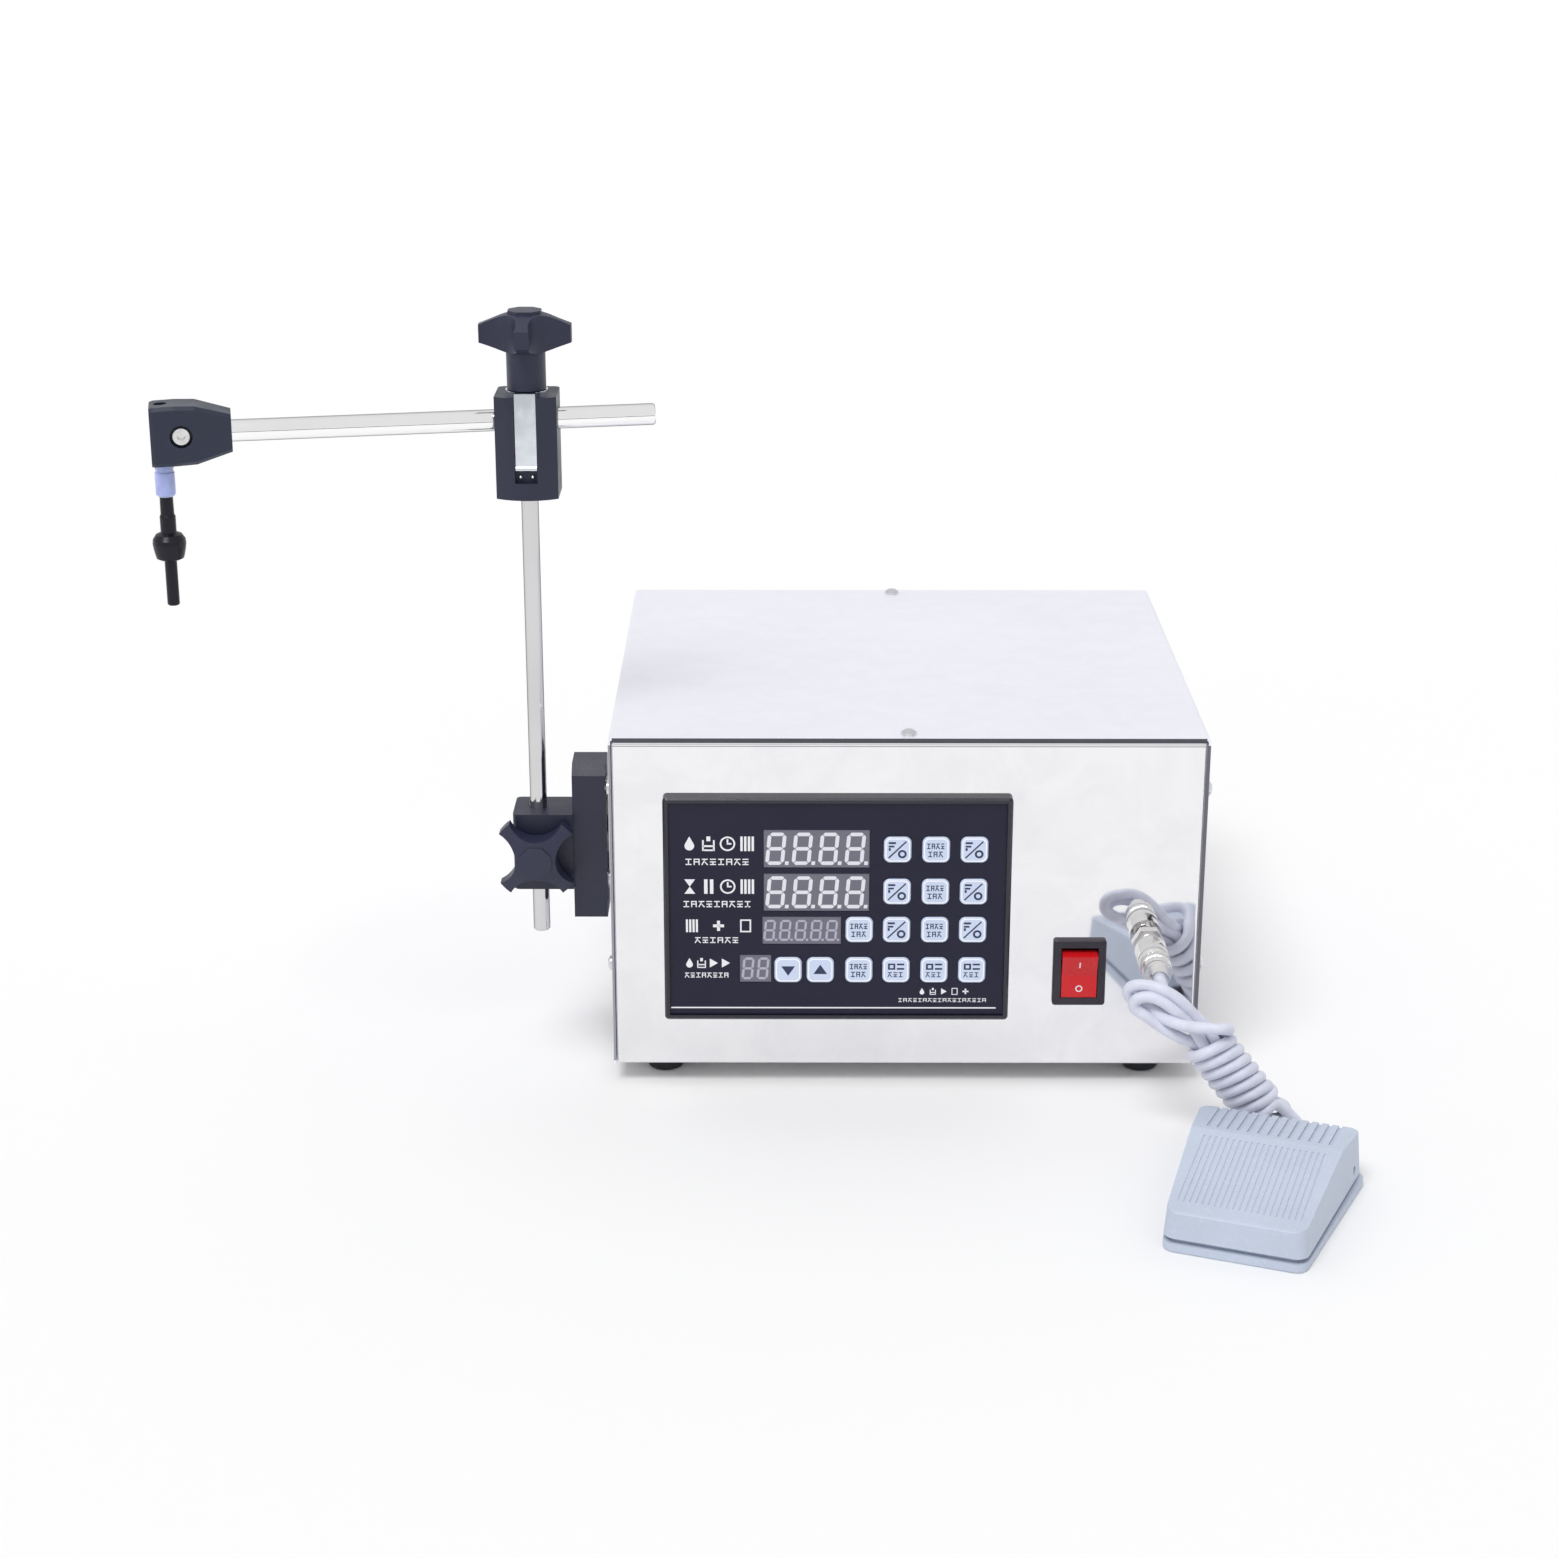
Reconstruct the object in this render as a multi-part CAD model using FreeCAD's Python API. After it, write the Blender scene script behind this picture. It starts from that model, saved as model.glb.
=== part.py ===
"""Bench liquid filling machine: steel case, control panel, jointed nozzle arm and foot pedal.

Millimetres, +Z up. The machine is drawn with x = 0 at the middle of the case, y = 0 at its
front face and z = 0 on the bench, and every piece is then moved by MACHINE_X and MACHINE_Y,
so the origin lies under the middle of the whole footprint, cord left out.
"""
import FreeCAD
import Part
import math
import os

Vector = FreeCAD.Vector

# Place of the case in the part's frame
MACHINE_X = 71.0
MACHINE_Y = -45.9

# Case of folded stainless sheet
CASE_WIDTH = 284.0
CASE_DEPTH = 260.0
CASE_HEIGHT = 168.0
FOOT_HEIGHT = 10.0
SHEET = 1.2
BEND_RADIUS = 2.2
SHEET_GAP = 0.15
FLANGE = 13.0
SIDE_LIP = 12.0
COVER_SCREW_EDGE = 6.5
COVER_SCREW_LOW = 51.0
COVER_SCREW_HIGH = 141.0
COVER_SCREW_RADIUS = 1.9
COVER_SCREW_HEAD = 3.7
SCREW_CLEARANCE = 0.15
FOOT_INSET_X = 24.5
FOOT_INSET_Y = 22.0
FOOT_RADIUS = 10.3
FOOT_SCREW_RADIUS = 2.0
FOOT_RECESS_RADIUS = 4.8
FOOT_RECESS_DEPTH = 4.5
VENT_COUNT = 9
VENT_PITCH = 7.0
VENT_WIDTH = 2.6
VENT_HEIGHT = 42.0

# Control panel
PANEL_WIDTH = 166.0
PANEL_HEIGHT = 114.0
PANEL_MARGIN = 25.5
PANEL_LOW = 25.5
PANEL_PROUD = 4.5
PANEL_CORNER = 2.0
BEZEL_RIM = 2.5
BEZEL_LIP = 8.0
BEZEL_WALL = 1.6
BEZEL_DEPTH = 12.0
SKIRT_INSET = 4.0
PANEL_GAP = 0.2
OVERLAY_THICKNESS = 1.0
OVERLAY_SUNK = 1.3
DISPLAY_SUNK = 0.3
DISPLAY_DEPTH = 8.0
BOARD_THICKNESS = 1.6

# LED modules: width, height, centre from the panel's right edge, centre above the case bottom
LARGE_LED = (50.3, 19.0)
SMALL_LED = (37.6, 14.0)
PAIR_LED = (15.0, 14.0)
DISPLAYS = [
    (LARGE_LED, 92.9, 113.6),
    (LARGE_LED, 92.9, 91.4),
    (SMALL_LED, 99.9, 71.8),
    (PAIR_LED, 122.1, 52.0),
]

# Keys: rows above the case bottom, columns from the panel's right edge
KEY_SIZE = 13.0
KEY_CORNER = 3.0
KEY_PROUD = 0.7
KEY_TRAVEL = 0.6
KEY_GAP = 0.25
KEY_FLANGE = 0.6
KEY_FLANGE_THICKNESS = 0.8
KEY_EDGE = 0.5
KEY_COLUMNS = [54.4, 36.1, 17.9]
KEY_ROWS = [113.4, 92.0, 72.4, 51.5]
CLEAR_KEY_COLUMN = 72.3
SPEED_KEY_COLUMNS = [106.4, 90.9]
TACT_SIZE = 6.0
TACT_SPACE = 0.3

# Rocker switch
SWITCH_MARGIN = 21.35
SWITCH_UP = 49.5
SWITCH_WIDTH = 25.5
SWITCH_HEIGHT = 34.0
SWITCH_PROUD = 2.4
SWITCH_BODY_INSET = 2.0
SWITCH_BODY_DEPTH = 24.0
ROCKER_WIDTH = 17.0
ROCKER_HEIGHT = 25.0
ROCKER_TILT = 9.0
ROCKER_GAP = 0.4
ROCKER_AXIS_Y = 4.5
ROCKER_FACE = 9.0
ROCKER_PIN_RADIUS = 1.5
ROCKER_PIN_LENGTH = 2.0
RUNNING_GAP = 0.06

# Pedal socket and its bayonet plug
SOCKET_MARGIN = 12.45
SIDE_MARGIN = 17.8
SOCKET_UP = 64.5
SOCKET_RADIUS = 4.85
SOCKET_BORE = 4.1
SOCKET_LENGTH = 22.0
SOCKET_NUT = 7.6
SOCKET_NUT_THICKNESS = 2.5
LUG_Y = 18.0
LUG_RADIUS = 1.0
LUG_REACH = 6.4
LUG_ANGLE = 15.0
RING_FRONT = 10.0
RING_SHOULDER = 27.0
RING_END = 37.0
RING_RADIUS = 7.7
RING_REAR_RADIUS = 7.0
RING_BORE = 5.2
RING_TURN = 60.0
SLOT_HALF = 1.45
PLUG_FLANGE = 6.2
PLUG_FLANGE_THICKNESS = 2.0
PLUG_TAIL_RADIUS = 4.4
PLUG_END = 46.0

# Pedal cord: wound hank between the plug and the pedal, then a short lead, with x from the socket's axis
CORD_DIAMETER = 5.5
HANK_FOLD = (-8.0, -54.5, 71.5)
HANK_TOP = (20.0, -67.0, 52.8)
HANK_CORNER = (49.5, -58.5, 13.0)
HANK_END = (67.5, -57.5, 12.8)
HANK_STRAND_RADIUS = 3.9
HANK_BUNDLE_RADIUS = 8.2
LEAD_STRAIGHT = 6.0
LEAD_ROUTE = [
    (73.5, -77.5, 4.6),
    (69.5, -68.5, 3.2),
    (66.0, -60.5, 3.1),
]

# Foot pedal, in its own frame: X across, Y to the rear, turned and placed on the floor
PEDAL_SIDE = 35.3
PEDAL_Y = -135.75
PEDAL_TURN = -20.5
PEDAL_LENGTH = 97.0
PEDAL_FRONT_WIDTH = 63.0
PEDAL_REAR_WIDTH = 77.0
PEDAL_DRAFT = 2.0
PEDAL_CORNER = 6.0
PEDAL_RIM = 4.4
SPRING_GAP = 0.3
PEDAL_RIM_OUT = 2.0
TREADLE_GAP = 2.4
TREADLE_WALL = 2.2
TREADLE_FRONT = 19.5
TREADLE_CREST = 30.0
TREADLE_CREST_Y = 16.0
TREADLE_REAR = 26.0
RIDGE_RADIUS = 3.5
COARSE_GROOVES = 13
COARSE_PITCH = 4.6
COARSE_WIDTH = 1.7
COARSE_DEPTH = 0.9
FINE_GROOVES = 21
FINE_PITCH = 2.7
FINE_WIDTH = 0.8
FINE_DEPTH = 0.35
PEDAL_PIN_INSET = 14.5
PEDAL_PIN_Z = 12.0
PEDAL_PIN_RADIUS = 2.0
PEDAL_SKIRT_GAP = 0.8
SPRING_Y = -6.0
SPRING_RADIUS = 4.5
SPRING_WIRE = 0.6
SPRING_TURNS = 4
SWITCH_BLOCK_Y = -26.0
PEDAL_FLOOR = 2.5
PEDAL_SPRING_TOP = 14.0
PEDAL_SWITCH_TOP = 11.0
PLUNGER_GAP = 1.9
EXIT_X = 19.8
EXIT_Z = 9.9
GROMMET_RADIUS = 4.6
GROMMET_LENGTH = 7.5
GROMMET_FLANGE = 5.4

# Lower bracket on the left side of the case
BAR_WIDTH = 16.0
BAR_DEPTH = 21.0
BAR_FRONT = 8.8
BAR_LOW = 74.0
BAR_LENGTH = 77.0
BAR_CHAMFER = 5.0
SPACER = 2.0
BAR_SCREWS_UP = [90.0, 138.0]
BAR_SCREW_RADIUS = 2.5
BLOCK_WIDTH = 28.5
BLOCK_DEPTH = 26.0
BLOCK_LOW = 89.0
BLOCK_HEIGHT = 38.0
BLOCK_SCREW_HEIGHTS = [10.0, 29.0]
POST_INSET = 17.0
POST_Y = 20.0
POST_RADIUS = 4.0
POST_LOW = 63.5
POST_TOP = 309.0

# Four-armed clamp knobs
KNOB_REACH = 21.3
KNOB_HUB = 9.5
KNOB_ARM_HALF = 3.5
KNOB_TIP = 8.0
KNOB_DOME = 6.5
KNOB_STEM = 9.0
KNOB_HEAD = 19.0
KNOB_STEM_LENGTH = 17.0
SIDE_KNOB_HEAD = 13.5
SIDE_KNOB_STEM = 1.7
KNOB_GAP = 0.3
STUD_RADIUS = 3.0

# Cross clamp that joins the post to the arm
CROSS_WIDTH = 28.5
CROSS_LOW = 281.0
CROSS_HEIGHT = 47.5
CROSS_BACK = 13.5
CROSS_FRONT = 11.0
CROSS_BULGE = 4.5
ARM_UP = 316.0
ARM_RADIUS = 5.0
ARM_TURN = 10.8
ARM_RIGHT = 59.0
ARM_LEFT = 158.6
STRAP_WIDTH = 9.7
STRAP_THICKNESS = 1.3
STRAP_GAP = 0.3
STRAP_LENGTH = 35.0
WASHER_RADIUS = 9.8
WASHER_THICKNESS = 1.6
RIVET_RADIUS = 1.0
RIVET_HALF_SPAN = 2.8

# Nozzle holder on the arm's end, in the arm's frame: distances left of the post
HOLDER_MOUTH = 134.0
HOLDER_END = 170.0
HOLDER_HALF_DEPTH = 10.0
HOLDER_TOP = 13.3
HOLDER_BOTTOM = 13.7
HOLDER_MOUTH_HALF = 8.3
HOLDER_EDGE = 1.6
CLAMP_SCREW_AT = 156.4
CLAMP_SCREW_RADIUS = 2.5
CLAMP_HEAD_RADIUS = 3.75
CLAMP_COUNTERBORE = 5.1
CLAMP_COUNTERBORE_DEPTH = 4.2
NOZZLE_AT = 165.0
HOSE_BORE = 3.0
PUSH_FIT = 0.02
NECK_RADIUS = 3.6
NECK_LENGTH = 9.0
SLEEVE_RADIUS = 4.5
SLEEVE_LENGTH = 15.2
NOZZLE_SPIGOT = 2.4
NOZZLE_STEM_TOP = 3.0
NOZZLE_STEM_LOW = 3.6
NOZZLE_STEM_LENGTH = 16.8
NOZZLE_BALL = 7.6
NOZZLE_BALL_HEIGHT = 12.8
NOZZLE_COLLAR = 6.2
NOZZLE_COLLAR_HEIGHT = 2.6
NOZZLE_TIP_RADIUS = 2.8
NOZZLE_TIP_LENGTH = 21.5
NOZZLE_BORE = 1.4

# Gear pump and its motor inside the case
PUMP_X = -55.0
PUMP_UP = 58.0
PUMP_INSET = 88.0
PUMP_BODY_DEPTH = 22.0
PUMP_COVER = 5.0
PUMP_HALF_WIDTH = 20.0
PUMP_HALF_HEIGHT = 30.0
GEAR_TEETH = 10
GEAR_MODULE = 2.0
GEAR_WIDTH = 12.0
GEAR_ADDENDUM = 0.9
GEAR_DEDENDUM = 1.2
GEAR_PRESSURE_ANGLE = 25.0
GEAR_BACKLASH = 0.35
GEAR_SPREAD = 0.1
GEAR_SHAFT = 3.5
CHAMBER_GAP = 0.15
MOTOR_RADIUS = 26.0
MOTOR_LENGTH = 78.0
MOTOR_SHAFT_DEPTH = 14.0
PORT_HALF_SPAN = 14.0
PORT_RADIUS = 3.2
HOSE_STUB_RADIUS = 5.0
HOSE_STUB_LENGTH = 16.0
HOSE_STUB_TAPER = 0.6
HOSE_OUTER = 7.5
FITTING_NUT = 8.8
FITTING_NUT_THICKNESS = 3.5

# Mains inlet and power supply
INLET_INSET = 57.0
INLET_UP = 45.0
INLET_WIDTH = 30.0
INLET_HEIGHT = 23.0
INLET_EAR_MARGIN = 4.5
INLET_FACE = 3.0
INLET_RECESS = (24.6, 17.0)
INLET_DEPTH = 26.0
INLET_RECESS_DEPTH = 16.5
INLET_CORNER = 4.5
INLET_PIN_LENGTH = 11.0
INLET_SCREW_SPAN = 20.0
SUPPLY_INSET_X = 67.0
SUPPLY_INSET_Y = 110.0
SUPPLY_SIZE = (98.0, 110.0, 36.0)
SUPPLY_FOOT = 2.0
SUPPLY_WALL = 1.4

# Values that follow from the sizes above
CASE_LOW = FOOT_HEIGHT
CASE_TOP = FOOT_HEIGHT + CASE_HEIGHT
HALF_WIDTH = CASE_WIDTH / 2
INNER_HALF = HALF_WIDTH - SHEET - SHEET_GAP
INNER_TOP = CASE_TOP - SHEET - SHEET_GAP
FLOOR_TOP = CASE_LOW + SHEET
FRONT_MARGINS = PANEL_MARGIN + SWITCH_MARGIN + SOCKET_MARGIN + SIDE_MARGIN
MARGIN_SHARE = (CASE_WIDTH - PANEL_WIDTH - SWITCH_WIDTH - 2 * RING_RADIUS) / FRONT_MARGINS
PANEL_LEFT = PANEL_MARGIN * MARGIN_SHARE - HALF_WIDTH
PANEL_RIGHT = PANEL_LEFT + PANEL_WIDTH
SWITCH_X = PANEL_RIGHT + SWITCH_MARGIN * MARGIN_SHARE + SWITCH_WIDTH / 2
SOCKET_X = HALF_WIDTH - SIDE_MARGIN * MARGIN_SHARE - RING_RADIUS
PEDAL_X = SOCKET_X + PEDAL_SIDE
PEDAL_PIN_Y = PEDAL_LENGTH / 2 - PEDAL_PIN_INSET
PANEL_BOTTOM = CASE_LOW + PANEL_LOW
PANEL_TOP = PANEL_BOTTOM + PANEL_HEIGHT
OVERLAY_FRONT = -PANEL_PROUD + OVERLAY_SUNK
OVERLAY_BACK = OVERLAY_FRONT + OVERLAY_THICKNESS
DISPLAY_FRONT = OVERLAY_FRONT + DISPLAY_SUNK
BOARD_FRONT = DISPLAY_FRONT + DISPLAY_DEPTH
KEY_FRONT = OVERLAY_FRONT - KEY_PROUD
KEY_FLANGE_FRONT = OVERLAY_BACK + KEY_GAP
KEY_BACK = KEY_FLANGE_FRONT + KEY_FLANGE_THICKNESS
TACT_FRONT = KEY_BACK + KEY_TRAVEL + TACT_SPACE
SWITCH_Z = CASE_LOW + SWITCH_UP
SOCKET_Z = CASE_LOW + SOCKET_UP
CORD_RADIUS = CORD_DIAMETER / 2
HANK_WRAP_RADIUS = HANK_STRAND_RADIUS + CORD_DIAMETER
BAR_RIGHT = -HALF_WIDTH - SPACER
BAR_LEFT = BAR_RIGHT - BAR_WIDTH
BAR_Z = CASE_LOW + BAR_LOW
BLOCK_LEFT = BAR_LEFT - BLOCK_WIDTH
POST_X = BAR_LEFT - POST_INSET
BLOCK_Z = CASE_LOW + BLOCK_LOW
BLOCK_FRONT = POST_Y - BLOCK_DEPTH / 2
ARM_Z = CASE_LOW + ARM_UP
CROSS_Z = CASE_LOW + CROSS_LOW
CROSS_TOP = CROSS_Z + CROSS_HEIGHT
GEAR_PITCH_RADIUS = GEAR_TEETH * GEAR_MODULE / 2
GEAR_TIP_RADIUS = GEAR_PITCH_RADIUS + GEAR_ADDENDUM * GEAR_MODULE
GEAR_CENTRES = 2 * GEAR_PITCH_RADIUS + GEAR_SPREAD
PUMP_Z = CASE_LOW + PUMP_UP
PUMP_FRONT = CASE_DEPTH - PUMP_INSET
PUMP_BACK = PUMP_FRONT + PUMP_BODY_DEPTH
PUMP_END = PUMP_BACK + PUMP_COVER
CHAMBER_FRONT = PUMP_BACK - GEAR_WIDTH - 2 * CHAMBER_GAP
INLET_X = HALF_WIDTH - INLET_INSET
INLET_EAR = INLET_SCREW_SPAN + INLET_EAR_MARGIN
INLET_Z = CASE_LOW + INLET_UP
SUPPLY_X = HALF_WIDTH - SUPPLY_INSET_X
SUPPLY_Y = CASE_DEPTH - SUPPLY_INSET_Y

ACROSS = Vector(1, 0, 0)
BACKWARD = Vector(0, 1, 0)
FORWARD = Vector(0, -1, 0)
UP = Vector(0, 0, 1)
DOWN = Vector(0, 0, -1)


def block(x0, x1, y0, y1, z0, z1):
    """Box between two corners."""
    return Part.makeBox(x1 - x0, y1 - y0, z1 - z0, Vector(x0, y0, z0))


def edges_along(shape, axis):
    """Straight edges of a shape that run along an axis."""
    found = []
    for edge in shape.Edges:
        if isinstance(edge.Curve, Part.Line) and abs(edge.Curve.Direction.dot(axis)) > 0.9999:
            found.append(edge)
    return found


def rounded_block(x0, x1, y0, y1, z0, z1, radius, axis):
    """Box with its four edges along one axis rounded."""
    body = block(x0, x1, y0, y1, z0, z1)
    return body.makeFillet(radius, edges_along(body, axis))


def rod(start, axis, radius, length):
    """Solid cylinder from a point along an axis."""
    return Part.makeCylinder(radius, length, start, axis)


def pipe(start, axis, outer, inner, length):
    """Cylinder with a bore."""
    return rod(start, axis, outer, length).cut(rod(start, axis, inner, length))


def polygon_face(points):
    """Flat face inside a closed outline."""
    return Part.Face(Part.makePolygon(list(points) + [points[0]]))


def prism(points, sweep):
    """Solid made by pushing an outline along a vector."""
    return polygon_face(points).extrude(sweep)


def hexagon_bar(start, axis, across_flats, length):
    """Hexagonal bar from a point along an axis."""
    direction = Vector(axis).normalize()
    side = direction.cross(UP)
    if side.Length < 0.1:
        side = Vector(ACROSS)
    side.normalize()
    other = direction.cross(side)
    corner = across_flats / math.sqrt(3)
    points = []
    for turn in range(6):
        angle = math.radians(60 * turn)
        points.append(start + side * (corner * math.cos(angle)) + other * (corner * math.sin(angle)))
    return prism(points, direction * length)


def revolve(outline, centre, axis):
    """Solid of revolution: outline pairs are (distance from the axis, height along it)."""
    points = [Vector(radius, 0, height) for radius, height in outline]
    body = polygon_face(points).revolve(Vector(0, 0, 0), UP, 360)
    body.Placement = FreeCAD.Placement(Vector(centre), FreeCAD.Rotation(UP, Vector(axis)))
    return body


def pan_screw(head_seat, outward, shank_radius, head_radius, head_height, length):
    """Pan-head screw: its head stands outward from the seat and its shank goes in."""
    rim = head_height * 0.45
    shoulder = head_radius * 0.6
    outline = [
        (0, -length),
        (shank_radius, -length),
        (shank_radius, 0),
        (head_radius, 0),
        (head_radius, rim),
        (shoulder, head_height * 0.9),
        (0, head_height),
    ]
    return revolve(outline, head_seat, outward)


def placed(shape, turn, about, shift):
    """Copy of a shape turned about the vertical through a point, then shifted."""
    moved = shape.copy()
    moved.rotate(about, UP, turn)
    moved.translate(shift)
    return moved


def cover_screw_seats():
    """Seat and outward direction of every screw that holds the cover."""
    seats = []
    rear = CASE_DEPTH - COVER_SCREW_EDGE
    for y in (COVER_SCREW_EDGE, rear):
        seats.append((Vector(0, y, CASE_TOP), UP))
        for height in (COVER_SCREW_LOW, COVER_SCREW_HIGH):
            seats.append((Vector(-HALF_WIDTH, y, CASE_LOW + height), Vector(-1, 0, 0)))
            seats.append((Vector(HALF_WIDTH, y, CASE_LOW + height), ACROSS))
    return seats


def foot_places():
    """Centres of the four feet."""
    places = []
    for x in (-HALF_WIDTH + FOOT_INSET_X, HALF_WIDTH - FOOT_INSET_X):
        for y in (FOOT_INSET_Y, CASE_DEPTH - FOOT_INSET_Y):
            places.append(Vector(x, y, 0))
    return places


def bar_screw_places():
    """Points on the case side where the bracket's screws pass."""
    y = BAR_FRONT + BAR_DEPTH / 2
    return [Vector(-HALF_WIDTH, y, CASE_LOW + height) for height in BAR_SCREWS_UP]


def hose_lines():
    """Axes of the two liquid lines where they meet the rear wall."""
    return [Vector(PUMP_X + side * PORT_HALF_SPAN, CASE_DEPTH, PUMP_Z) for side in (-1, 1)]


def chassis():
    """Folded sheet: base with side lips, front and rear walls with turned-in flanges."""
    body = block(-INNER_HALF, INNER_HALF, 0, CASE_DEPTH, CASE_LOW, INNER_TOP)
    body = body.makeFillet(BEND_RADIUS, body.Edges)
    hollow = block(-INNER_HALF + SHEET, INNER_HALF - SHEET, SHEET, CASE_DEPTH - SHEET,
                   FLOOR_TOP, INNER_TOP - SHEET)
    hollow = hollow.makeFillet(BEND_RADIUS - SHEET, hollow.Edges)
    body = body.cut(hollow)
    body = body.cut(block(-CASE_WIDTH, CASE_WIDTH, FLANGE, CASE_DEPTH - FLANGE,
                          CASE_LOW + SIDE_LIP, CASE_TOP))
    body = body.cut(block(-INNER_HALF + FLANGE, INNER_HALF - FLANGE, SHEET + 1, CASE_DEPTH - SHEET - 1,
                          INNER_TOP - 2 * SHEET, INNER_TOP - SHEET / 2))
    cuts = [panel_cutout(), switch_cutout(), inlet_cutout()]
    socket = Vector(SOCKET_X, -1, SOCKET_Z)
    cuts.append(rod(socket, BACKWARD, SOCKET_RADIUS + SCREW_CLEARANCE, SHEET + 2))
    for line in hose_lines():
        cuts.append(rod(line + FORWARD * (SHEET + 1), BACKWARD, HOSE_STUB_RADIUS + SCREW_CLEARANCE,
                        SHEET + 2))
    for place in foot_places():
        cuts.append(rod(place, UP, FOOT_SCREW_RADIUS + SCREW_CLEARANCE, FLOOR_TOP + 1))
    for seat, outward in cover_screw_seats():
        cuts.append(rod(seat, outward * -1, COVER_SCREW_RADIUS + SCREW_CLEARANCE, 3 * SHEET))
    for ear in (-INLET_SCREW_SPAN, INLET_SCREW_SPAN):
        hole = Vector(INLET_X + ear, CASE_DEPTH + 1, INLET_Z)
        cuts.append(rod(hole, FORWARD, FOOT_SCREW_RADIUS - SCREW_CLEARANCE, SHEET + 2))
    return body.cut(cuts + vent_slots())


def vent_slots():
    """Upright slots in the rear wall above the mains inlet."""
    slots = []
    low = INLET_Z + INLET_HEIGHT
    for index in range(VENT_COUNT):
        x = INLET_X + (index - (VENT_COUNT - 1) / 2) * VENT_PITCH
        slots.append(rounded_block(x - VENT_WIDTH / 2, x + VENT_WIDTH / 2, CASE_DEPTH - 2 * SHEET,
                                   CASE_DEPTH + 1, low, low + VENT_HEIGHT, VENT_WIDTH * 0.48, BACKWARD))
    return slots


def panel_cutout():
    """Opening in the front wall for the panel's skirt."""
    inset = SKIRT_INSET - PANEL_GAP
    return block(PANEL_LEFT + inset, PANEL_RIGHT - inset, -1, SHEET + 1,
                 PANEL_BOTTOM + inset, PANEL_TOP - inset)


def switch_cutout():
    """Opening in the front wall for the switch body."""
    half_x = SWITCH_WIDTH / 2 - SWITCH_BODY_INSET + PANEL_GAP
    half_z = SWITCH_HEIGHT / 2 - SWITCH_BODY_INSET + PANEL_GAP
    return block(SWITCH_X - half_x, SWITCH_X + half_x, -1, SHEET + 1, SWITCH_Z - half_z, SWITCH_Z + half_z)


def inlet_cutout():
    """Opening in the rear wall for the mains inlet."""
    half_x = INLET_WIDTH / 2 + PANEL_GAP
    half_z = INLET_HEIGHT / 2 + PANEL_GAP
    return block(INLET_X - half_x, INLET_X + half_x, CASE_DEPTH - SHEET - 1, CASE_DEPTH + 1,
                 INLET_Z - half_z, INLET_Z + half_z)


def top_cover():
    """Inverted U of sheet that closes the top and both sides."""
    body = block(-HALF_WIDTH, HALF_WIDTH, 0, CASE_DEPTH, CASE_LOW, CASE_TOP)
    upper = [edge for edge in edges_along(body, BACKWARD) if edge.CenterOfMass.z > CASE_TOP - 1]
    body = body.makeFillet(BEND_RADIUS, upper)
    hollow = block(-HALF_WIDTH + SHEET, HALF_WIDTH - SHEET, -1, CASE_DEPTH + 1, CASE_LOW - 1, CASE_TOP - SHEET)
    upper = [edge for edge in edges_along(hollow, BACKWARD) if edge.CenterOfMass.z > CASE_LOW]
    hollow = hollow.makeFillet(BEND_RADIUS - SHEET, upper)
    holes = []
    for seat, outward in cover_screw_seats():
        holes.append(rod(seat + outward, outward * -1, COVER_SCREW_RADIUS + SCREW_CLEARANCE, SHEET + 2))
    for place in bar_screw_places():
        holes.append(rod(place - ACROSS, ACROSS, BAR_SCREW_RADIUS + SCREW_CLEARANCE, SHEET + 2))
    return body.cut(hollow).cut(holes)


def case_screws():
    """Pan-head screws of the cover and of the feet, each foot screw with its nut."""
    screws = []
    for seat, outward in cover_screw_seats():
        screws.append(pan_screw(seat, outward, COVER_SCREW_RADIUS, COVER_SCREW_HEAD, 2.4, 7.0))
    for place in foot_places():
        seat = place + UP * FOOT_RECESS_DEPTH
        length = FLOOR_TOP - FOOT_RECESS_DEPTH + 5.0
        screws.append(pan_screw(seat, DOWN, FOOT_SCREW_RADIUS, 3.8, 2.4, length))
        nut = hexagon_bar(place + UP * FLOOR_TOP, UP, 7.0, 3.2)
        screws.append(nut.cut(rod(place, UP, FOOT_SCREW_RADIUS, 2 * FLOOR_TOP)))
    return screws


def rubber_feet():
    """Bowl-shaped rubber feet with a recess for the screw head."""
    feet = []
    for place in foot_places():
        foot = Part.makeCone(FOOT_RADIUS - 1.4, FOOT_RADIUS, FOOT_HEIGHT, place, UP)
        low = [edge for edge in foot.Edges if abs(edge.CenterOfMass.z) < 0.01]
        rim = [edge for edge in low if edge.Length > FOOT_RADIUS * 2]
        foot = foot.makeFillet(2.4, rim)
        foot = foot.cut(rod(place, UP, FOOT_RECESS_RADIUS, FOOT_RECESS_DEPTH))
        foot = foot.cut(rod(place, UP, FOOT_SCREW_RADIUS + SCREW_CLEARANCE, FOOT_HEIGHT))
        feet.append(foot)
    return feet


def key_places():
    """Centre of every key, row by row from the top."""
    places = []
    for number, height in enumerate(KEY_ROWS):
        columns = list(KEY_COLUMNS)
        if number >= 2:
            columns = [CLEAR_KEY_COLUMN] + columns
        if number == 3:
            columns = SPEED_KEY_COLUMNS + columns
        for inset in columns:
            places.append(Vector(PANEL_RIGHT - inset, 0, CASE_LOW + height))
    return places


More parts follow.
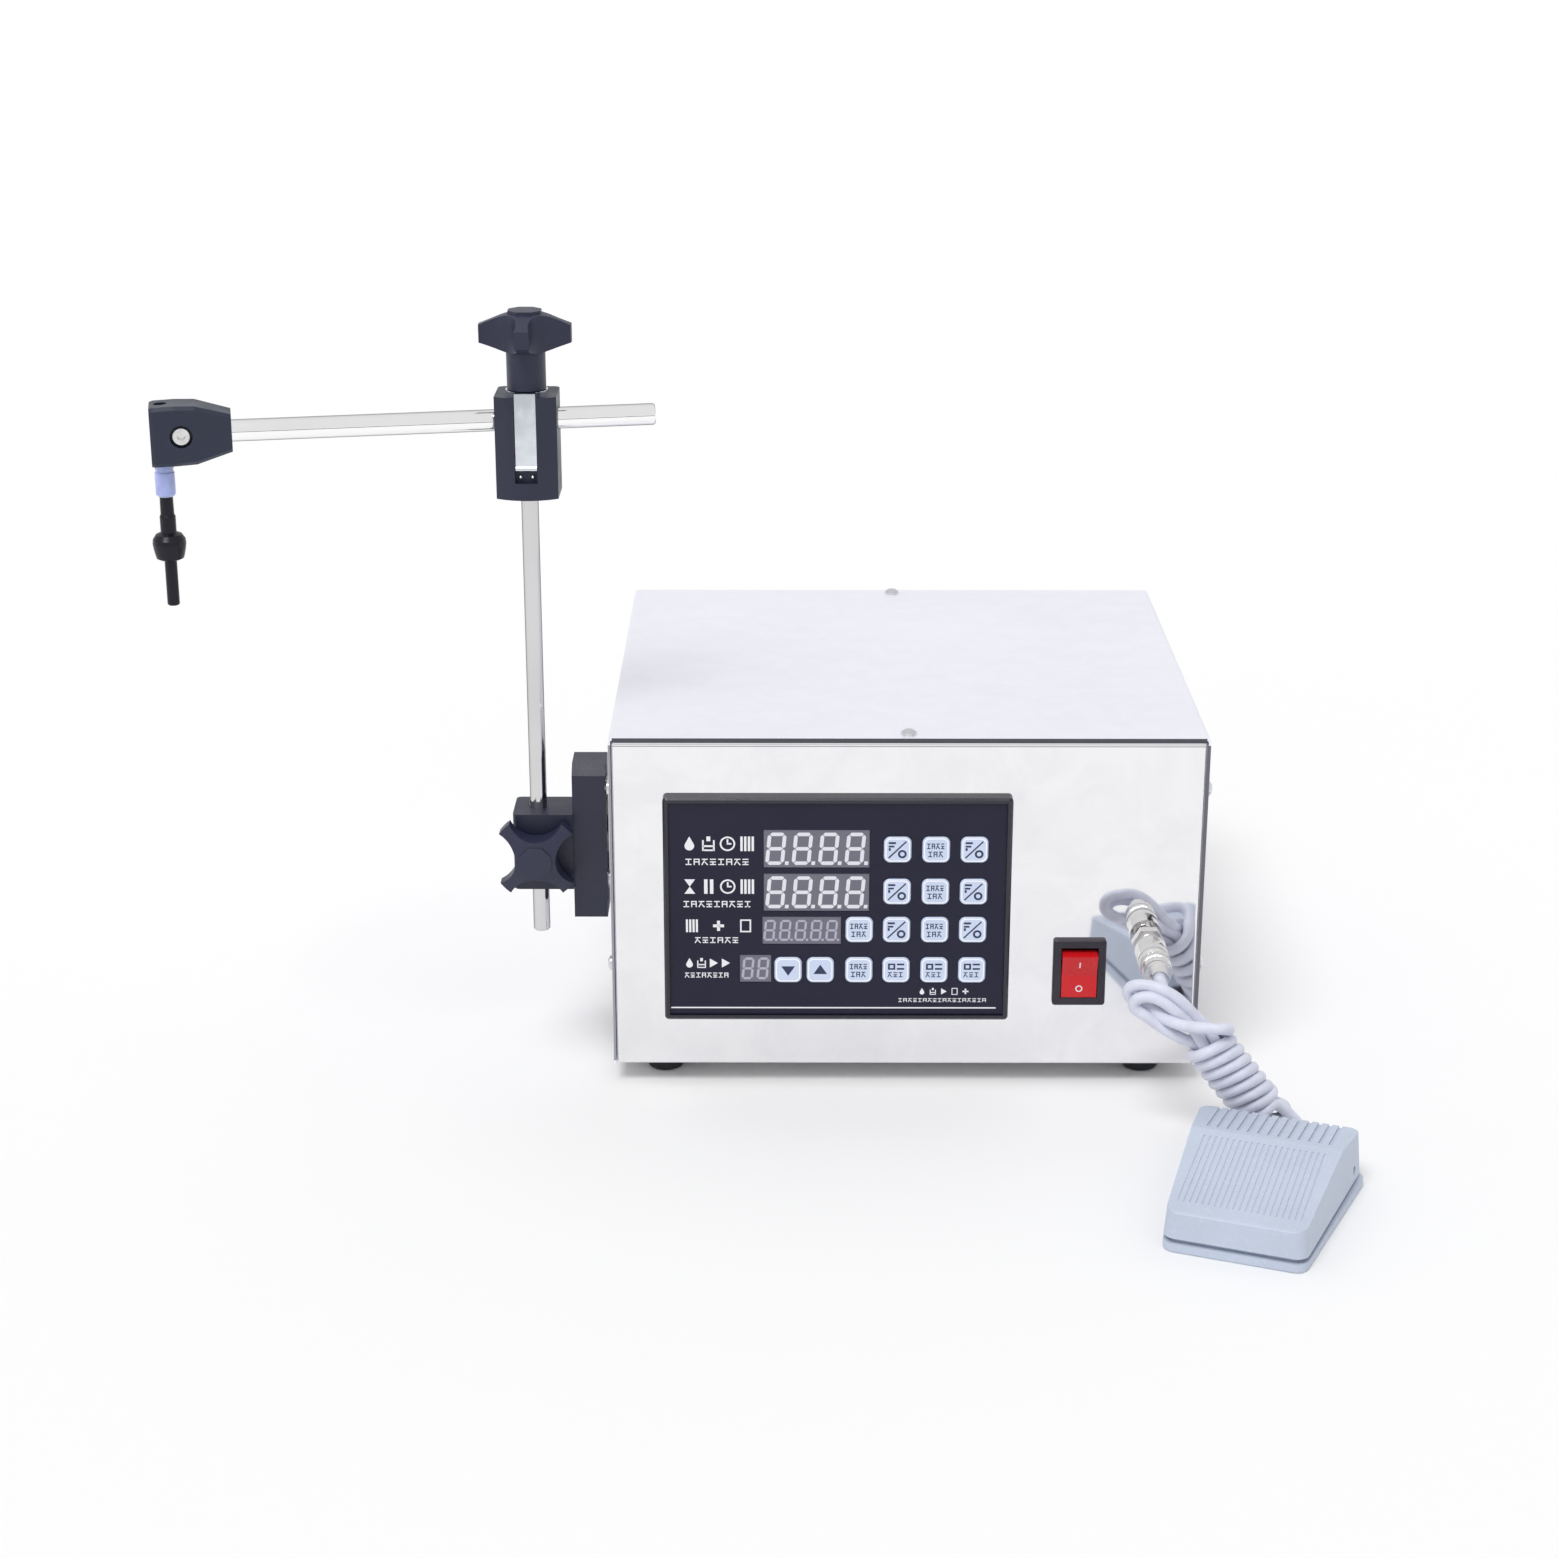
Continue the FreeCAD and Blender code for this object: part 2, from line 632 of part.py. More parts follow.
def panel_bezel():
    """Moulded frame with a rim, a seat for the overlay, a skirt, board bosses and snap wedges."""
    frame = rounded_block(PANEL_LEFT, PANEL_RIGHT, -PANEL_PROUD, 0, PANEL_BOTTOM, PANEL_TOP,
                          PANEL_CORNER, BACKWARD)
    front = [edge for edge in frame.Edges if abs(edge.CenterOfMass.y + PANEL_PROUD) < 0.01]
    frame = frame.makeChamfer(1.0, front)
    rim = BEZEL_RIM
    frame = frame.cut(block(PANEL_LEFT + rim, PANEL_RIGHT - rim, -PANEL_PROUD - 1, OVERLAY_BACK,
                            PANEL_BOTTOM + rim, PANEL_TOP - rim))
    inset = SKIRT_INSET
    skirt = block(PANEL_LEFT + inset, PANEL_RIGHT - inset, -1, BEZEL_DEPTH,
                  PANEL_BOTTOM + inset, PANEL_TOP - inset)
    frame = frame.fuse(skirt)
    lip = BEZEL_LIP
    frame = frame.cut(block(PANEL_LEFT + lip, PANEL_RIGHT - lip, OVERLAY_BACK - 1, 1,
                            PANEL_BOTTOM + lip, PANEL_TOP - lip))
    inset = SKIRT_INSET + BEZEL_WALL
    frame = frame.cut(block(PANEL_LEFT + inset, PANEL_RIGHT - inset, 0, BEZEL_DEPTH + 1,
                            PANEL_BOTTOM + inset, PANEL_TOP - inset))
    additions = []
    for x in (PANEL_LEFT + lip, PANEL_RIGHT - lip):
        for z in (PANEL_BOTTOM + lip, PANEL_TOP - lip):
            additions.append(rod(Vector(x, 0, z), BACKWARD, 1.8, BOARD_FRONT))
    for x in (PANEL_LEFT + PANEL_WIDTH / 4, PANEL_RIGHT - PANEL_WIDTH / 4):
        additions.append(snap_wedge(x, PANEL_BOTTOM + SKIRT_INSET, -1))
        additions.append(snap_wedge(x, PANEL_TOP - SKIRT_INSET, 1))
    return frame.fuse(additions)


def snap_wedge(x, z, side):
    """Sloped catch on the skirt that holds the panel behind the front wall."""
    start = SHEET + PANEL_GAP
    points = [Vector(x - 5, start, z), Vector(x - 5, start, z + side * 1.6), Vector(x - 5, start + 6, z)]
    return prism(points, ACROSS * 10)


def panel_overlay():
    """Printed front sheet with a window for each display and each key."""
    gap = BEZEL_RIM + PANEL_GAP
    sheet = block(PANEL_LEFT + gap, PANEL_RIGHT - gap, OVERLAY_FRONT, OVERLAY_BACK,
                  PANEL_BOTTOM + gap, PANEL_TOP - gap)
    windows = []
    for (width, height), inset, up in DISPLAYS:
        windows.append(display_block(width + 2 * PANEL_GAP, height + 2 * PANEL_GAP, inset, up, -10, 10))
    for place in key_places():
        half = KEY_SIZE / 2 + KEY_GAP
        windows.append(rounded_block(place.x - half, place.x + half, -10, 10, place.z - half,
                                     place.z + half, KEY_CORNER + KEY_GAP, BACKWARD))
    return sheet.cut(windows)


def display_block(width, height, inset, up, front, back):
    """Box of a display's outline between two depths, placed from the panel's right edge."""
    x = PANEL_RIGHT - inset
    z = CASE_LOW + up
    return block(x - width / 2, x + width / 2, front, back, z - height / 2, z + height / 2)


def led_displays():
    """The four LED modules, seated on the board."""
    return [display_block(width, height, inset, up, DISPLAY_FRONT, BOARD_FRONT)
            for (width, height), inset, up in DISPLAYS]


def control_board():
    """Circuit board with a tact switch behind each key, a processor, a connector and capacitors."""
    inset = SKIRT_INSET + BEZEL_WALL + PANEL_GAP
    back = BOARD_FRONT + BOARD_THICKNESS
    left = PANEL_LEFT + inset
    right = PANEL_RIGHT - inset
    low = PANEL_BOTTOM + inset
    high = PANEL_TOP - inset
    board = block(left, right, BOARD_FRONT, back, low, high)
    parts = []
    for place in key_places():
        half = TACT_SIZE / 2
        parts.append(block(place.x - half, place.x + half, TACT_FRONT + 1, BOARD_FRONT,
                           place.z - half, place.z + half))
        parts.append(rod(Vector(place.x, TACT_FRONT, place.z), BACKWARD, TACT_SIZE / 4, 1))
    middle = (low + high) / 2
    parts.append(block(left + 20, left + 34, back, back + 2, middle - 7, middle + 7))
    parts.append(block(right - 40, right - 12, back, back + 7, low + 8, low + 16))
    for index in range(3):
        parts.append(rod(Vector(right - 20, back, middle + 10 * index), BACKWARD, 4, 9))
    return [board.fuse(parts)]


def key_cap(place):
    """One key: rounded cap through the overlay with a flange behind it."""
    half = KEY_SIZE / 2
    cap = rounded_block(place.x - half, place.x + half, KEY_FRONT, KEY_FLANGE_FRONT, place.z - half,
                        place.z + half, KEY_CORNER, BACKWARD)
    front = [edge for edge in cap.Edges if abs(edge.CenterOfMass.y - KEY_FRONT) < 0.01]
    cap = cap.makeChamfer(KEY_EDGE, front)
    half = KEY_SIZE / 2 + KEY_FLANGE
    flange = block(place.x - half, place.x + half, KEY_FLANGE_FRONT, KEY_BACK, place.z - half, place.z + half)
    return cap.fuse(flange)


def switch_body():
    """Switch housing: framed front, pocket for the rocker, bearing holes and three blade terminals."""
    half_x = SWITCH_WIDTH / 2
    half_z = SWITCH_HEIGHT / 2
    frame = rounded_block(SWITCH_X - half_x, SWITCH_X + half_x, -SWITCH_PROUD, 0,
                          SWITCH_Z - half_z, SWITCH_Z + half_z, 1.5, BACKWARD)
    front = [edge for edge in frame.Edges if abs(edge.CenterOfMass.y + SWITCH_PROUD) < 0.01]
    frame = frame.makeChamfer(0.6, front)
    half_x -= SWITCH_BODY_INSET
    half_z -= SWITCH_BODY_INSET
    frame = frame.fuse(block(SWITCH_X - half_x, SWITCH_X + half_x, -1, SWITCH_BODY_DEPTH,
                             SWITCH_Z - half_z, SWITCH_Z + half_z))
    half_x = ROCKER_WIDTH / 2 + ROCKER_GAP
    half_z = ROCKER_HEIGHT / 2 + ROCKER_GAP
    frame = frame.cut(block(SWITCH_X - half_x, SWITCH_X + half_x, -SWITCH_PROUD - 1, ROCKER_AXIS_Y + ROCKER_FACE,
                            SWITCH_Z - half_z, SWITCH_Z + half_z))
    bearing = Vector(SWITCH_X - ROCKER_WIDTH / 2 - ROCKER_PIN_LENGTH - ROCKER_GAP, ROCKER_AXIS_Y, SWITCH_Z)
    frame = frame.cut(rod(bearing, ACROSS, ROCKER_PIN_RADIUS + RUNNING_GAP,
                          ROCKER_WIDTH + 2 * (ROCKER_PIN_LENGTH + ROCKER_GAP)))
    blades = []
    for step in (-8, 0, 8):
        blades.append(block(SWITCH_X - 3.15, SWITCH_X + 3.15, SWITCH_BODY_DEPTH - 1, SWITCH_BODY_DEPTH + 8,
                            SWITCH_Z + step - 0.4, SWITCH_Z + step + 0.4))
    return frame.fuse(blades)


def switch_rocker():
    """Rocker with two faces in a shallow V, drawn level and tilted to its off position."""
    half = ROCKER_HEIGHT / 2
    rise = half * math.tan(math.radians(ROCKER_TILT))
    face = ROCKER_AXIS_Y - ROCKER_FACE
    left = SWITCH_X - ROCKER_WIDTH / 2
    belly = ROCKER_AXIS_Y + ROCKER_FACE * 0.45
    outline = [
        Vector(left, face, SWITCH_Z - half + 1.2),
        Vector(left, face + rise, SWITCH_Z),
        Vector(left, face, SWITCH_Z + half - 1.2),
        Vector(left, ROCKER_AXIS_Y - 2, SWITCH_Z + half - 1.2),
        Vector(left, belly, SWITCH_Z + half / 2),
        Vector(left, belly, SWITCH_Z - half / 2),
        Vector(left, ROCKER_AXIS_Y - 2, SWITCH_Z - half + 1.2),
    ]
    body = prism(outline, ACROSS * ROCKER_WIDTH)
    pivot = Vector(left - ROCKER_PIN_LENGTH, ROCKER_AXIS_Y, SWITCH_Z)
    body = body.fuse(rod(pivot, ACROSS, ROCKER_PIN_RADIUS, ROCKER_WIDTH + 2 * ROCKER_PIN_LENGTH))
    body.rotate(Vector(SWITCH_X, ROCKER_AXIS_Y, SWITCH_Z), ACROSS, ROCKER_TILT)
    return body


def cord_socket():
    """Bayonet panel socket: nut on the front, threaded barrel with two lugs, body behind the wall."""
    centre = Vector(SOCKET_X, 0, SOCKET_Z)
    nut = hexagon_bar(centre, FORWARD, 2 * SOCKET_NUT * 0.92, SOCKET_NUT_THICKNESS)
    barrel = rod(centre + BACKWARD * 12, FORWARD, SOCKET_RADIUS, 12 + SOCKET_LENGTH)
    rear = rod(centre + BACKWARD * SHEET, BACKWARD, SOCKET_NUT, 6)
    body = nut.fuse([barrel, rear])
    for angle in (LUG_ANGLE, LUG_ANGLE + 180):
        spoke = Vector(math.cos(math.radians(angle)), 0, math.sin(math.radians(angle)))
        body = body.fuse(rod(centre + FORWARD * LUG_Y, spoke, LUG_RADIUS, LUG_REACH))
    bore = rod(centre + FORWARD * (SOCKET_LENGTH + 1), BACKWARD, SOCKET_BORE, SOCKET_LENGTH - 1)
    contact = rod(centre + FORWARD, FORWARD, 0.9, 5)
    return body.cut(bore).fuse(contact)


def plug_ring():
    """Coupling ring: bayonet slots for the lugs and a stepped rear end that turns on the plug."""
    centre = Vector(SOCKET_X, 0, SOCKET_Z)
    ring = rod(centre + FORWARD * RING_FRONT, FORWARD, RING_RADIUS, RING_SHOULDER - RING_FRONT)
    ring = ring.fuse(rod(centre + FORWARD * RING_SHOULDER, FORWARD, RING_REAR_RADIUS, RING_END - RING_SHOULDER))
    groove = pipe(centre + FORWARD * (RING_SHOULDER - 3.2), FORWARD, RING_RADIUS + 1, RING_RADIUS - 0.7, 1.4)
    ring = ring.cut(groove)
    ring = ring.cut(rod(centre, FORWARD, RING_BORE, SOCKET_LENGTH + 1))
    ring = ring.cut(rod(centre, FORWARD, SOCKET_RADIUS + RUNNING_GAP, RING_END + 1))
    for first in (LUG_ANGLE, LUG_ANGLE + 180):
        ring = ring.cut(bayonet_slot(centre, first))
    return ring


def bayonet_slot(centre, first):
    """Slot round part of the ring and its entry from the front rim, as one cutting solid."""
    near = centre + FORWARD * (LUG_Y - SLOT_HALF)
    band = pipe(near, FORWARD, RING_RADIUS + 1, RING_BORE - 0.6, 2 * SLOT_HALF)
    margin = math.degrees(SLOT_HALF / RING_BORE)
    reach = 2 * RING_RADIUS
    angles = [first - margin, first + RING_TURN / 2, first + RING_TURN + margin]
    corners = [near]
    for angle in angles:
        spoke = Vector(math.cos(math.radians(angle)), 0, math.sin(math.radians(angle)))
        corners.append(near + spoke * reach)
    slot = band.common(prism(corners, FORWARD * (2 * SLOT_HALF)))
    last = math.radians(first + RING_TURN)
    spoke = Vector(math.cos(last), 0, math.sin(last))
    side = Vector(-spoke.z, 0, spoke.x)
    start = near + spoke * (RING_BORE - 0.6) - side * SLOT_HALF
    width = side * (2 * SLOT_HALF)
    corners = [start, start + spoke * reach, start + spoke * reach + width, start + width]
    entry = prism(corners, BACKWARD * (LUG_Y - RING_FRONT))
    return slot.fuse(entry)


def plug_body():
    """Plug core: nose in the socket, barrel inside the ring, retaining flange and cord ferrule."""
    centre = Vector(SOCKET_X, 0, SOCKET_Z)
    nose = pipe(centre + FORWARD * 8, FORWARD, SOCKET_BORE - RUNNING_GAP, 1.5, SOCKET_LENGTH - 8)
    barrel = rod(centre + FORWARD * SOCKET_LENGTH, FORWARD, SOCKET_RADIUS, RING_END + KNOB_GAP - SOCKET_LENGTH)
    flange = rod(centre + FORWARD * (RING_END + KNOB_GAP), FORWARD, PLUG_FLANGE, PLUG_FLANGE_THICKNESS)
    tail = rod(centre + FORWARD * RING_END, FORWARD, PLUG_TAIL_RADIUS, PLUG_END - RING_END)
    return nose.fuse([barrel, flange, tail])


def unit(start, end):
    """Unit vector from one point to another."""
    return (end - start).normalize()


def beside_socket(point):
    """Point whose x is measured from the socket's axis."""
    return Vector(*point) + ACROSS * SOCKET_X


def cord_hank():
    """Outer shape of the hank: wound length, folded bundle and the strand from the plug."""
    fold = beside_socket(HANK_FOLD)
    top = beside_socket(HANK_TOP)
    route = [top, beside_socket(HANK_CORNER), beside_socket(HANK_END)]
    wound = cord_tube(route, HANK_WRAP_RADIUS + CORD_RADIUS)
    bundle = rod(fold, unit(fold, top), HANK_BUNDLE_RADIUS, (top - fold).Length)
    tail = rod(Vector(SOCKET_X, -PLUG_END, SOCKET_Z), FORWARD, CORD_RADIUS, 6)
    caps = [Part.makeSphere(HANK_BUNDLE_RADIUS, fold), Part.makeSphere(HANK_BUNDLE_RADIUS, top)]
    return wound.fuse([bundle, tail] + caps)


def lead_route():
    """Corner points of the lead from the pedal's grommet to the hank."""
    wall_back = PEDAL_LENGTH / 2 - TREADLE_WALL - PEDAL_SKIRT_GAP
    grommet_end = wall_back + 1 + GROMMET_LENGTH
    ends = [Vector(EXIT_X, grommet_end, EXIT_Z), Vector(EXIT_X, grommet_end + LEAD_STRAIGHT, EXIT_Z)]
    turn = FreeCAD.Rotation(UP, PEDAL_TURN)
    begin = [turn.multVec(point) + Vector(PEDAL_X, PEDAL_Y, 0) for point in ends]
    return begin + [beside_socket(point) for point in LEAD_ROUTE]


def cord_tube(route, radius):
    """Tube along straight runs joined by tangent arcs; prints each arc's radius."""
    edges = []
    begin = route[0]
    for before, corner, after in zip(route, route[1:], route[2:]):
        into = unit(before, corner)
        out = unit(corner, after)
        shorter = min((corner - before).Length, (after - corner).Length)
        trim = 0.45 * shorter
        half_turn = into.getAngle(out) / 2
        print("cord arc radius", round(trim / math.tan(half_turn), 1))
        first = corner - into * trim
        last = corner + out * trim
        bisector = (out - into).normalize()
        arc_radius = trim / math.tan(half_turn)
        to_centre = math.hypot(arc_radius, trim)
        middle = corner + bisector * (to_centre - arc_radius)
        edges.append(Part.LineSegment(begin, first).toShape())
        edges.append(Part.Arc(first, middle, last).toShape())
        begin = last
    edges.append(Part.LineSegment(begin, route[-1]).toShape())
    path = Part.Wire(edges)
    section = Part.Wire(Part.Circle(route[0], unit(route[0], route[1]), radius).toShape())
    return path.makePipeShell([section], True, False)


def in_pedal_place(shape):
    """Move a shape from the pedal's own frame to its place on the floor."""
    return placed(shape, PEDAL_TURN, Vector(0, 0, 0), Vector(PEDAL_X, PEDAL_Y, 0))


def trapezoid(front_half, rear_half, front_y, rear_y, z):
    """Corner points of the pedal's outline at one height."""
    return [
        Vector(-front_half, front_y, z),
        Vector(front_half, front_y, z),
        Vector(rear_half, rear_y, z),
        Vector(-rear_half, rear_y, z),
    ]


def round_corners(body, radius):
    """Round the four edges of a body that run up its corners."""
    corners = [edge for edge in body.Edges if abs(edge.tangentAt(edge.FirstParameter).z) > 0.8]
    return body.makeFillet(radius, corners)


def pedal_body(inset, low, high):
    """Tapered block with the pedal's plan outline, drawn in by an inset."""
    half_length = PEDAL_LENGTH / 2 - inset
    front_half = PEDAL_FRONT_WIDTH / 2 - inset
    rear_half = PEDAL_REAR_WIDTH / 2 - inset
    lower = trapezoid(front_half, rear_half, -half_length, half_length, low)
    upper = trapezoid(front_half - PEDAL_DRAFT, rear_half - PEDAL_DRAFT, -half_length,
                      half_length - PEDAL_DRAFT / 2, high)
    wires = [Part.makePolygon(points + [points[0]]) for points in (lower, upper)]
    return round_corners(Part.makeLoft(wires, True, True), PEDAL_CORNER - inset)


def tread_height(y):
    """Height of the treadle's top surface at a distance behind the pedal's middle."""
    front = -PEDAL_LENGTH / 2 - 1
    rear = PEDAL_LENGTH / 2 + 1
    if y < TREADLE_CREST_Y:
        share = (y - front) / (TREADLE_CREST_Y - front)
        return TREADLE_FRONT + share * (TREADLE_CREST - TREADLE_FRONT)
    share = (y - TREADLE_CREST_Y) / (rear - TREADLE_CREST_Y)
    return TREADLE_CREST - share * (TREADLE_CREST - TREADLE_REAR)


def treadle_profile(inset, low):
    """Side view of the treadle: nose ridge, rising tread, crest and rear strip."""
    front = -PEDAL_LENGTH / 2 - 1 + inset
    rear = PEDAL_LENGTH / 2 + 1 - inset
    x = -PEDAL_REAR_WIDTH
    outline = prism([
        Vector(x, front, low),
        Vector(x, front, TREADLE_FRONT - inset),
        Vector(x, TREADLE_CREST_Y, TREADLE_CREST - inset),
        Vector(x, rear, TREADLE_REAR - inset),
        Vector(x, rear, low),
    ], ACROSS * (2 * PEDAL_REAR_WIDTH))
    nose = [edge for edge in edges_along(outline, ACROSS)
            if edge.CenterOfMass.y < front + 1 and edge.CenterOfMass.z > low + 1]
    outline = outline.makeFillet(RIDGE_RADIUS, nose)
    return outline


def pedal_treadle():
    """Ribbed treadle: a thin tapered shell with hinge ears and a boss over the spring."""
    low = PEDAL_RIM + TREADLE_GAP
    high = TREADLE_CREST + 1
    outer = pedal_body(0, low, high).common(treadle_profile(0, low - 1))
    inner = pedal_body(TREADLE_WALL, low - 1, high).common(treadle_profile(TREADLE_WALL, low - 2))
    shell = outer.cut(inner)
    shell = shell.cut(block(-PEDAL_REAR_WIDTH, PEDAL_REAR_WIDTH, PEDAL_LENGTH / 2 - TREADLE_WALL - 1.5,
                            PEDAL_LENGTH, 0, PEDAL_PIN_Z + 5))
    ears = []
    ear_top = tread_height(PEDAL_PIN_Y + 4) - TREADLE_WALL / 2
    for side in (-1, 1):
        x = side * 22
        ear = block(x - 1.5, x + 1.5, PEDAL_PIN_Y - 4, PEDAL_PIN_Y + 4, PEDAL_PIN_Z, ear_top)
        ears.append(ear.fuse(rod(Vector(x - 1.5, PEDAL_PIN_Y, PEDAL_PIN_Z), ACROSS, 4, 3)))
    boss_top = tread_height(SPRING_Y - SPRING_RADIUS - 1) - TREADLE_WALL / 2
    boss = rod(Vector(0, SPRING_Y, PEDAL_SPRING_TOP), UP, SPRING_RADIUS + 1, boss_top - PEDAL_SPRING_TOP)
    plunger_low = PEDAL_SWITCH_TOP + PLUNGER_GAP
    plunger_top = tread_height(SWITCH_BLOCK_Y - 2) - TREADLE_WALL / 2
    plunger = rod(Vector(0, SWITCH_BLOCK_Y, plunger_low), UP, 2, plunger_top - plunger_low)
    shell = shell.fuse(ears + [boss, plunger])
    hole = rod(Vector(-40, PEDAL_PIN_Y, PEDAL_PIN_Z), ACROSS, PEDAL_PIN_RADIUS + RUNNING_GAP, 80)
    shell = shell.cut(hole)
    return in_pedal_place(shell.cut(treadle_grooves()))


def treadle_grooves():
    """Cutters for the coarse grooves behind the crest and the fine ones in front of it."""
    cutters = []
    back_slope = math.atan2(TREADLE_CREST - TREADLE_REAR, PEDAL_LENGTH / 2 + 1 - TREADLE_CREST_Y)
    front_slope = math.atan2(TREADLE_CREST - TREADLE_FRONT, TREADLE_CREST_Y + PEDAL_LENGTH / 2 + 1)
    crest = Vector(0, TREADLE_CREST_Y, TREADLE_CREST)
    for index in range(COARSE_GROOVES):
        x = (index - (COARSE_GROOVES - 1) / 2) * COARSE_PITCH
        cutter = block(x - COARSE_WIDTH / 2, x + COARSE_WIDTH / 2, TREADLE_CREST_Y + 4, PEDAL_LENGTH,
                       TREADLE_CREST - COARSE_DEPTH, TREADLE_CREST + 5)
        cutter.rotate(crest, ACROSS, -math.degrees(back_slope))
        cutters.append(cutter)
    for index in range(FINE_GROOVES):
        x = (index - (FINE_GROOVES - 1) / 2) * FINE_PITCH
        cutter = block(x - FINE_WIDTH / 2, x + FINE_WIDTH / 2, -PEDAL_LENGTH / 2 + 8, TREADLE_CREST_Y - 5,
                       TREADLE_CREST - FINE_DEPTH, TREADLE_CREST + 5)
        cutter.rotate(crest, ACROSS, math.degrees(front_slope))
        cutters.append(cutter)
    return cutters


def pedal_base():
    """Base tray: broad rim, inner wall inside the treadle, hinge ears and spring seat."""
    rim = trapezoid(PEDAL_FRONT_WIDTH / 2, PEDAL_REAR_WIDTH / 2 + PEDAL_RIM_OUT, -PEDAL_LENGTH / 2,
                    PEDAL_LENGTH / 2, 0)
    plate = round_corners(prism(rim, UP * PEDAL_RIM), PEDAL_CORNER)
    lower = [edge for edge in plate.Edges if abs(edge.CenterOfMass.z) < 0.01]
    plate = plate.makeChamfer(0.6, lower)
    inset = TREADLE_WALL + PEDAL_SKIRT_GAP
    wall_top = PEDAL_RIM + TREADLE_GAP + 2.5
    wall = pedal_body(inset, PEDAL_RIM - 1, wall_top)
    rear = PEDAL_LENGTH / 2 - inset
    rear_wall = block(EXIT_X - 40, EXIT_X + 8, rear - 2.5, rear, PEDAL_RIM - 1, PEDAL_PIN_Z + 4)
    hollow = pedal_body(inset + 2, PEDAL_FLOOR, wall_top + 1)
    tray = plate.fuse([wall]).cut(hollow).fuse(rear_wall)
    extras = []
    for side in (-1, 1):
        x = side * 27
        extras.append(block(x - 2, x + 2, PEDAL_PIN_Y - 4, PEDAL_PIN_Y + 4, PEDAL_FLOOR - 1, PEDAL_PIN_Z))
        extras.append(rod(Vector(x - 2, PEDAL_PIN_Y, PEDAL_PIN_Z), ACROSS, 4, 4))
    peg_radius = SPRING_RADIUS - 2 * SPRING_WIRE - SPRING_GAP
    extras.append(rod(Vector(0, SPRING_Y, PEDAL_FLOOR - 1), UP, peg_radius, 3.5))
    tray = tray.fuse(extras)
    tray = tray.cut(rod(Vector(-40, PEDAL_PIN_Y, PEDAL_PIN_Z), ACROSS, PEDAL_PIN_RADIUS, 80))
    tray = tray.cut(rod(Vector(EXIT_X, 0, EXIT_Z), BACKWARD, GROMMET_RADIUS, PEDAL_LENGTH))
    return in_pedal_place(tray)


def pedal_grommet():
    """Cord grommet in the rear wall of the pedal base, with a short tapered sleeve."""
    wall_back = PEDAL_LENGTH / 2 - TREADLE_WALL - PEDAL_SKIRT_GAP
    inside = Vector(EXIT_X, wall_back - 5, EXIT_Z)
    body = rod(inside, BACKWARD, GROMMET_RADIUS, 5)
    body = body.fuse(rod(Vector(EXIT_X, wall_back, EXIT_Z), BACKWARD, GROMMET_FLANGE, 1.6))
    start = Vector(EXIT_X, wall_back + 1, EXIT_Z)
    cone = Part.makeCone(GROMMET_RADIUS, CORD_RADIUS + 0.6, GROMMET_LENGTH, start, BACKWARD)
    body = body.fuse(cone)
    return in_pedal_place(body)


def pedal_pin():
    """Steel hinge pin through the ears of the base and the treadle."""
    return in_pedal_place(rod(Vector(-30, PEDAL_PIN_Y, PEDAL_PIN_Z), ACROSS, PEDAL_PIN_RADIUS, 60))


def pedal_spring():
    """Compression spring between the base and the treadle's boss."""
    low = PEDAL_FLOOR + SPRING_WIRE
    height = PEDAL_SPRING_TOP - PEDAL_FLOOR - 2 * SPRING_WIRE - SPRING_GAP
    radius = SPRING_RADIUS - SPRING_WIRE
    helix = Part.makeHelix(height / SPRING_TURNS, height, radius)
    start = Vector(radius, 0, 0)
    section = Part.Wire(Part.Circle(start, BACKWARD, SPRING_WIRE).toShape())
    coil = Part.Wire(helix.Edges).makePipeShell([section], True, True)
    coil.translate(Vector(0, SPRING_Y, low))
    return in_pedal_place(coil)


def pedal_switch():
    """Small snap switch that the treadle's plunger presses."""
    body = block(-10, 10, SWITCH_BLOCK_Y - 3.2, SWITCH_BLOCK_Y + 3.2, PEDAL_FLOOR, PEDAL_SWITCH_TOP - 1)
    button = rod(Vector(0, SWITCH_BLOCK_Y, PEDAL_SWITCH_TOP - 1), UP, 1.2, 1)
    return in_pedal_place(body.fuse(button))


def mount_bar():
    """Upright bar beside the case with a sloped top front edge."""
    z1 = BAR_Z + BAR_LENGTH
    back = BAR_FRONT + BAR_DEPTH
    bar = prism([
        Vector(BAR_LEFT, BAR_FRONT, BAR_Z),
        Vector(BAR_LEFT, BAR_FRONT, z1 - BAR_CHAMFER),
        Vector(BAR_LEFT, BAR_FRONT + BAR_CHAMFER, z1),
        Vector(BAR_LEFT, back, z1),
        Vector(BAR_LEFT, back, BAR_Z),
    ], ACROSS * BAR_WIDTH)
    cuts = []
    for place in bar_screw_places():
        cuts.append(rod(place, Vector(-1, 0, 0), BAR_SCREW_RADIUS, SPACER + 11))
    for place in block_screw_places():
        cuts.append(rod(place, Vector(-1, 0, 0), BAR_SCREW_RADIUS + SCREW_CLEARANCE, BAR_WIDTH))
        cuts.append(rod(place, Vector(-1, 0, 0), 2 * BAR_SCREW_RADIUS, 6))
    return bar.cut(cuts)


def block_screw_places():
    """Points on the bar's right face where the clamp block's screws go in."""
    y = BAR_FRONT + BAR_DEPTH / 2
    return [Vector(BAR_RIGHT, y, BLOCK_Z + height) for height in BLOCK_SCREW_HEIGHTS]


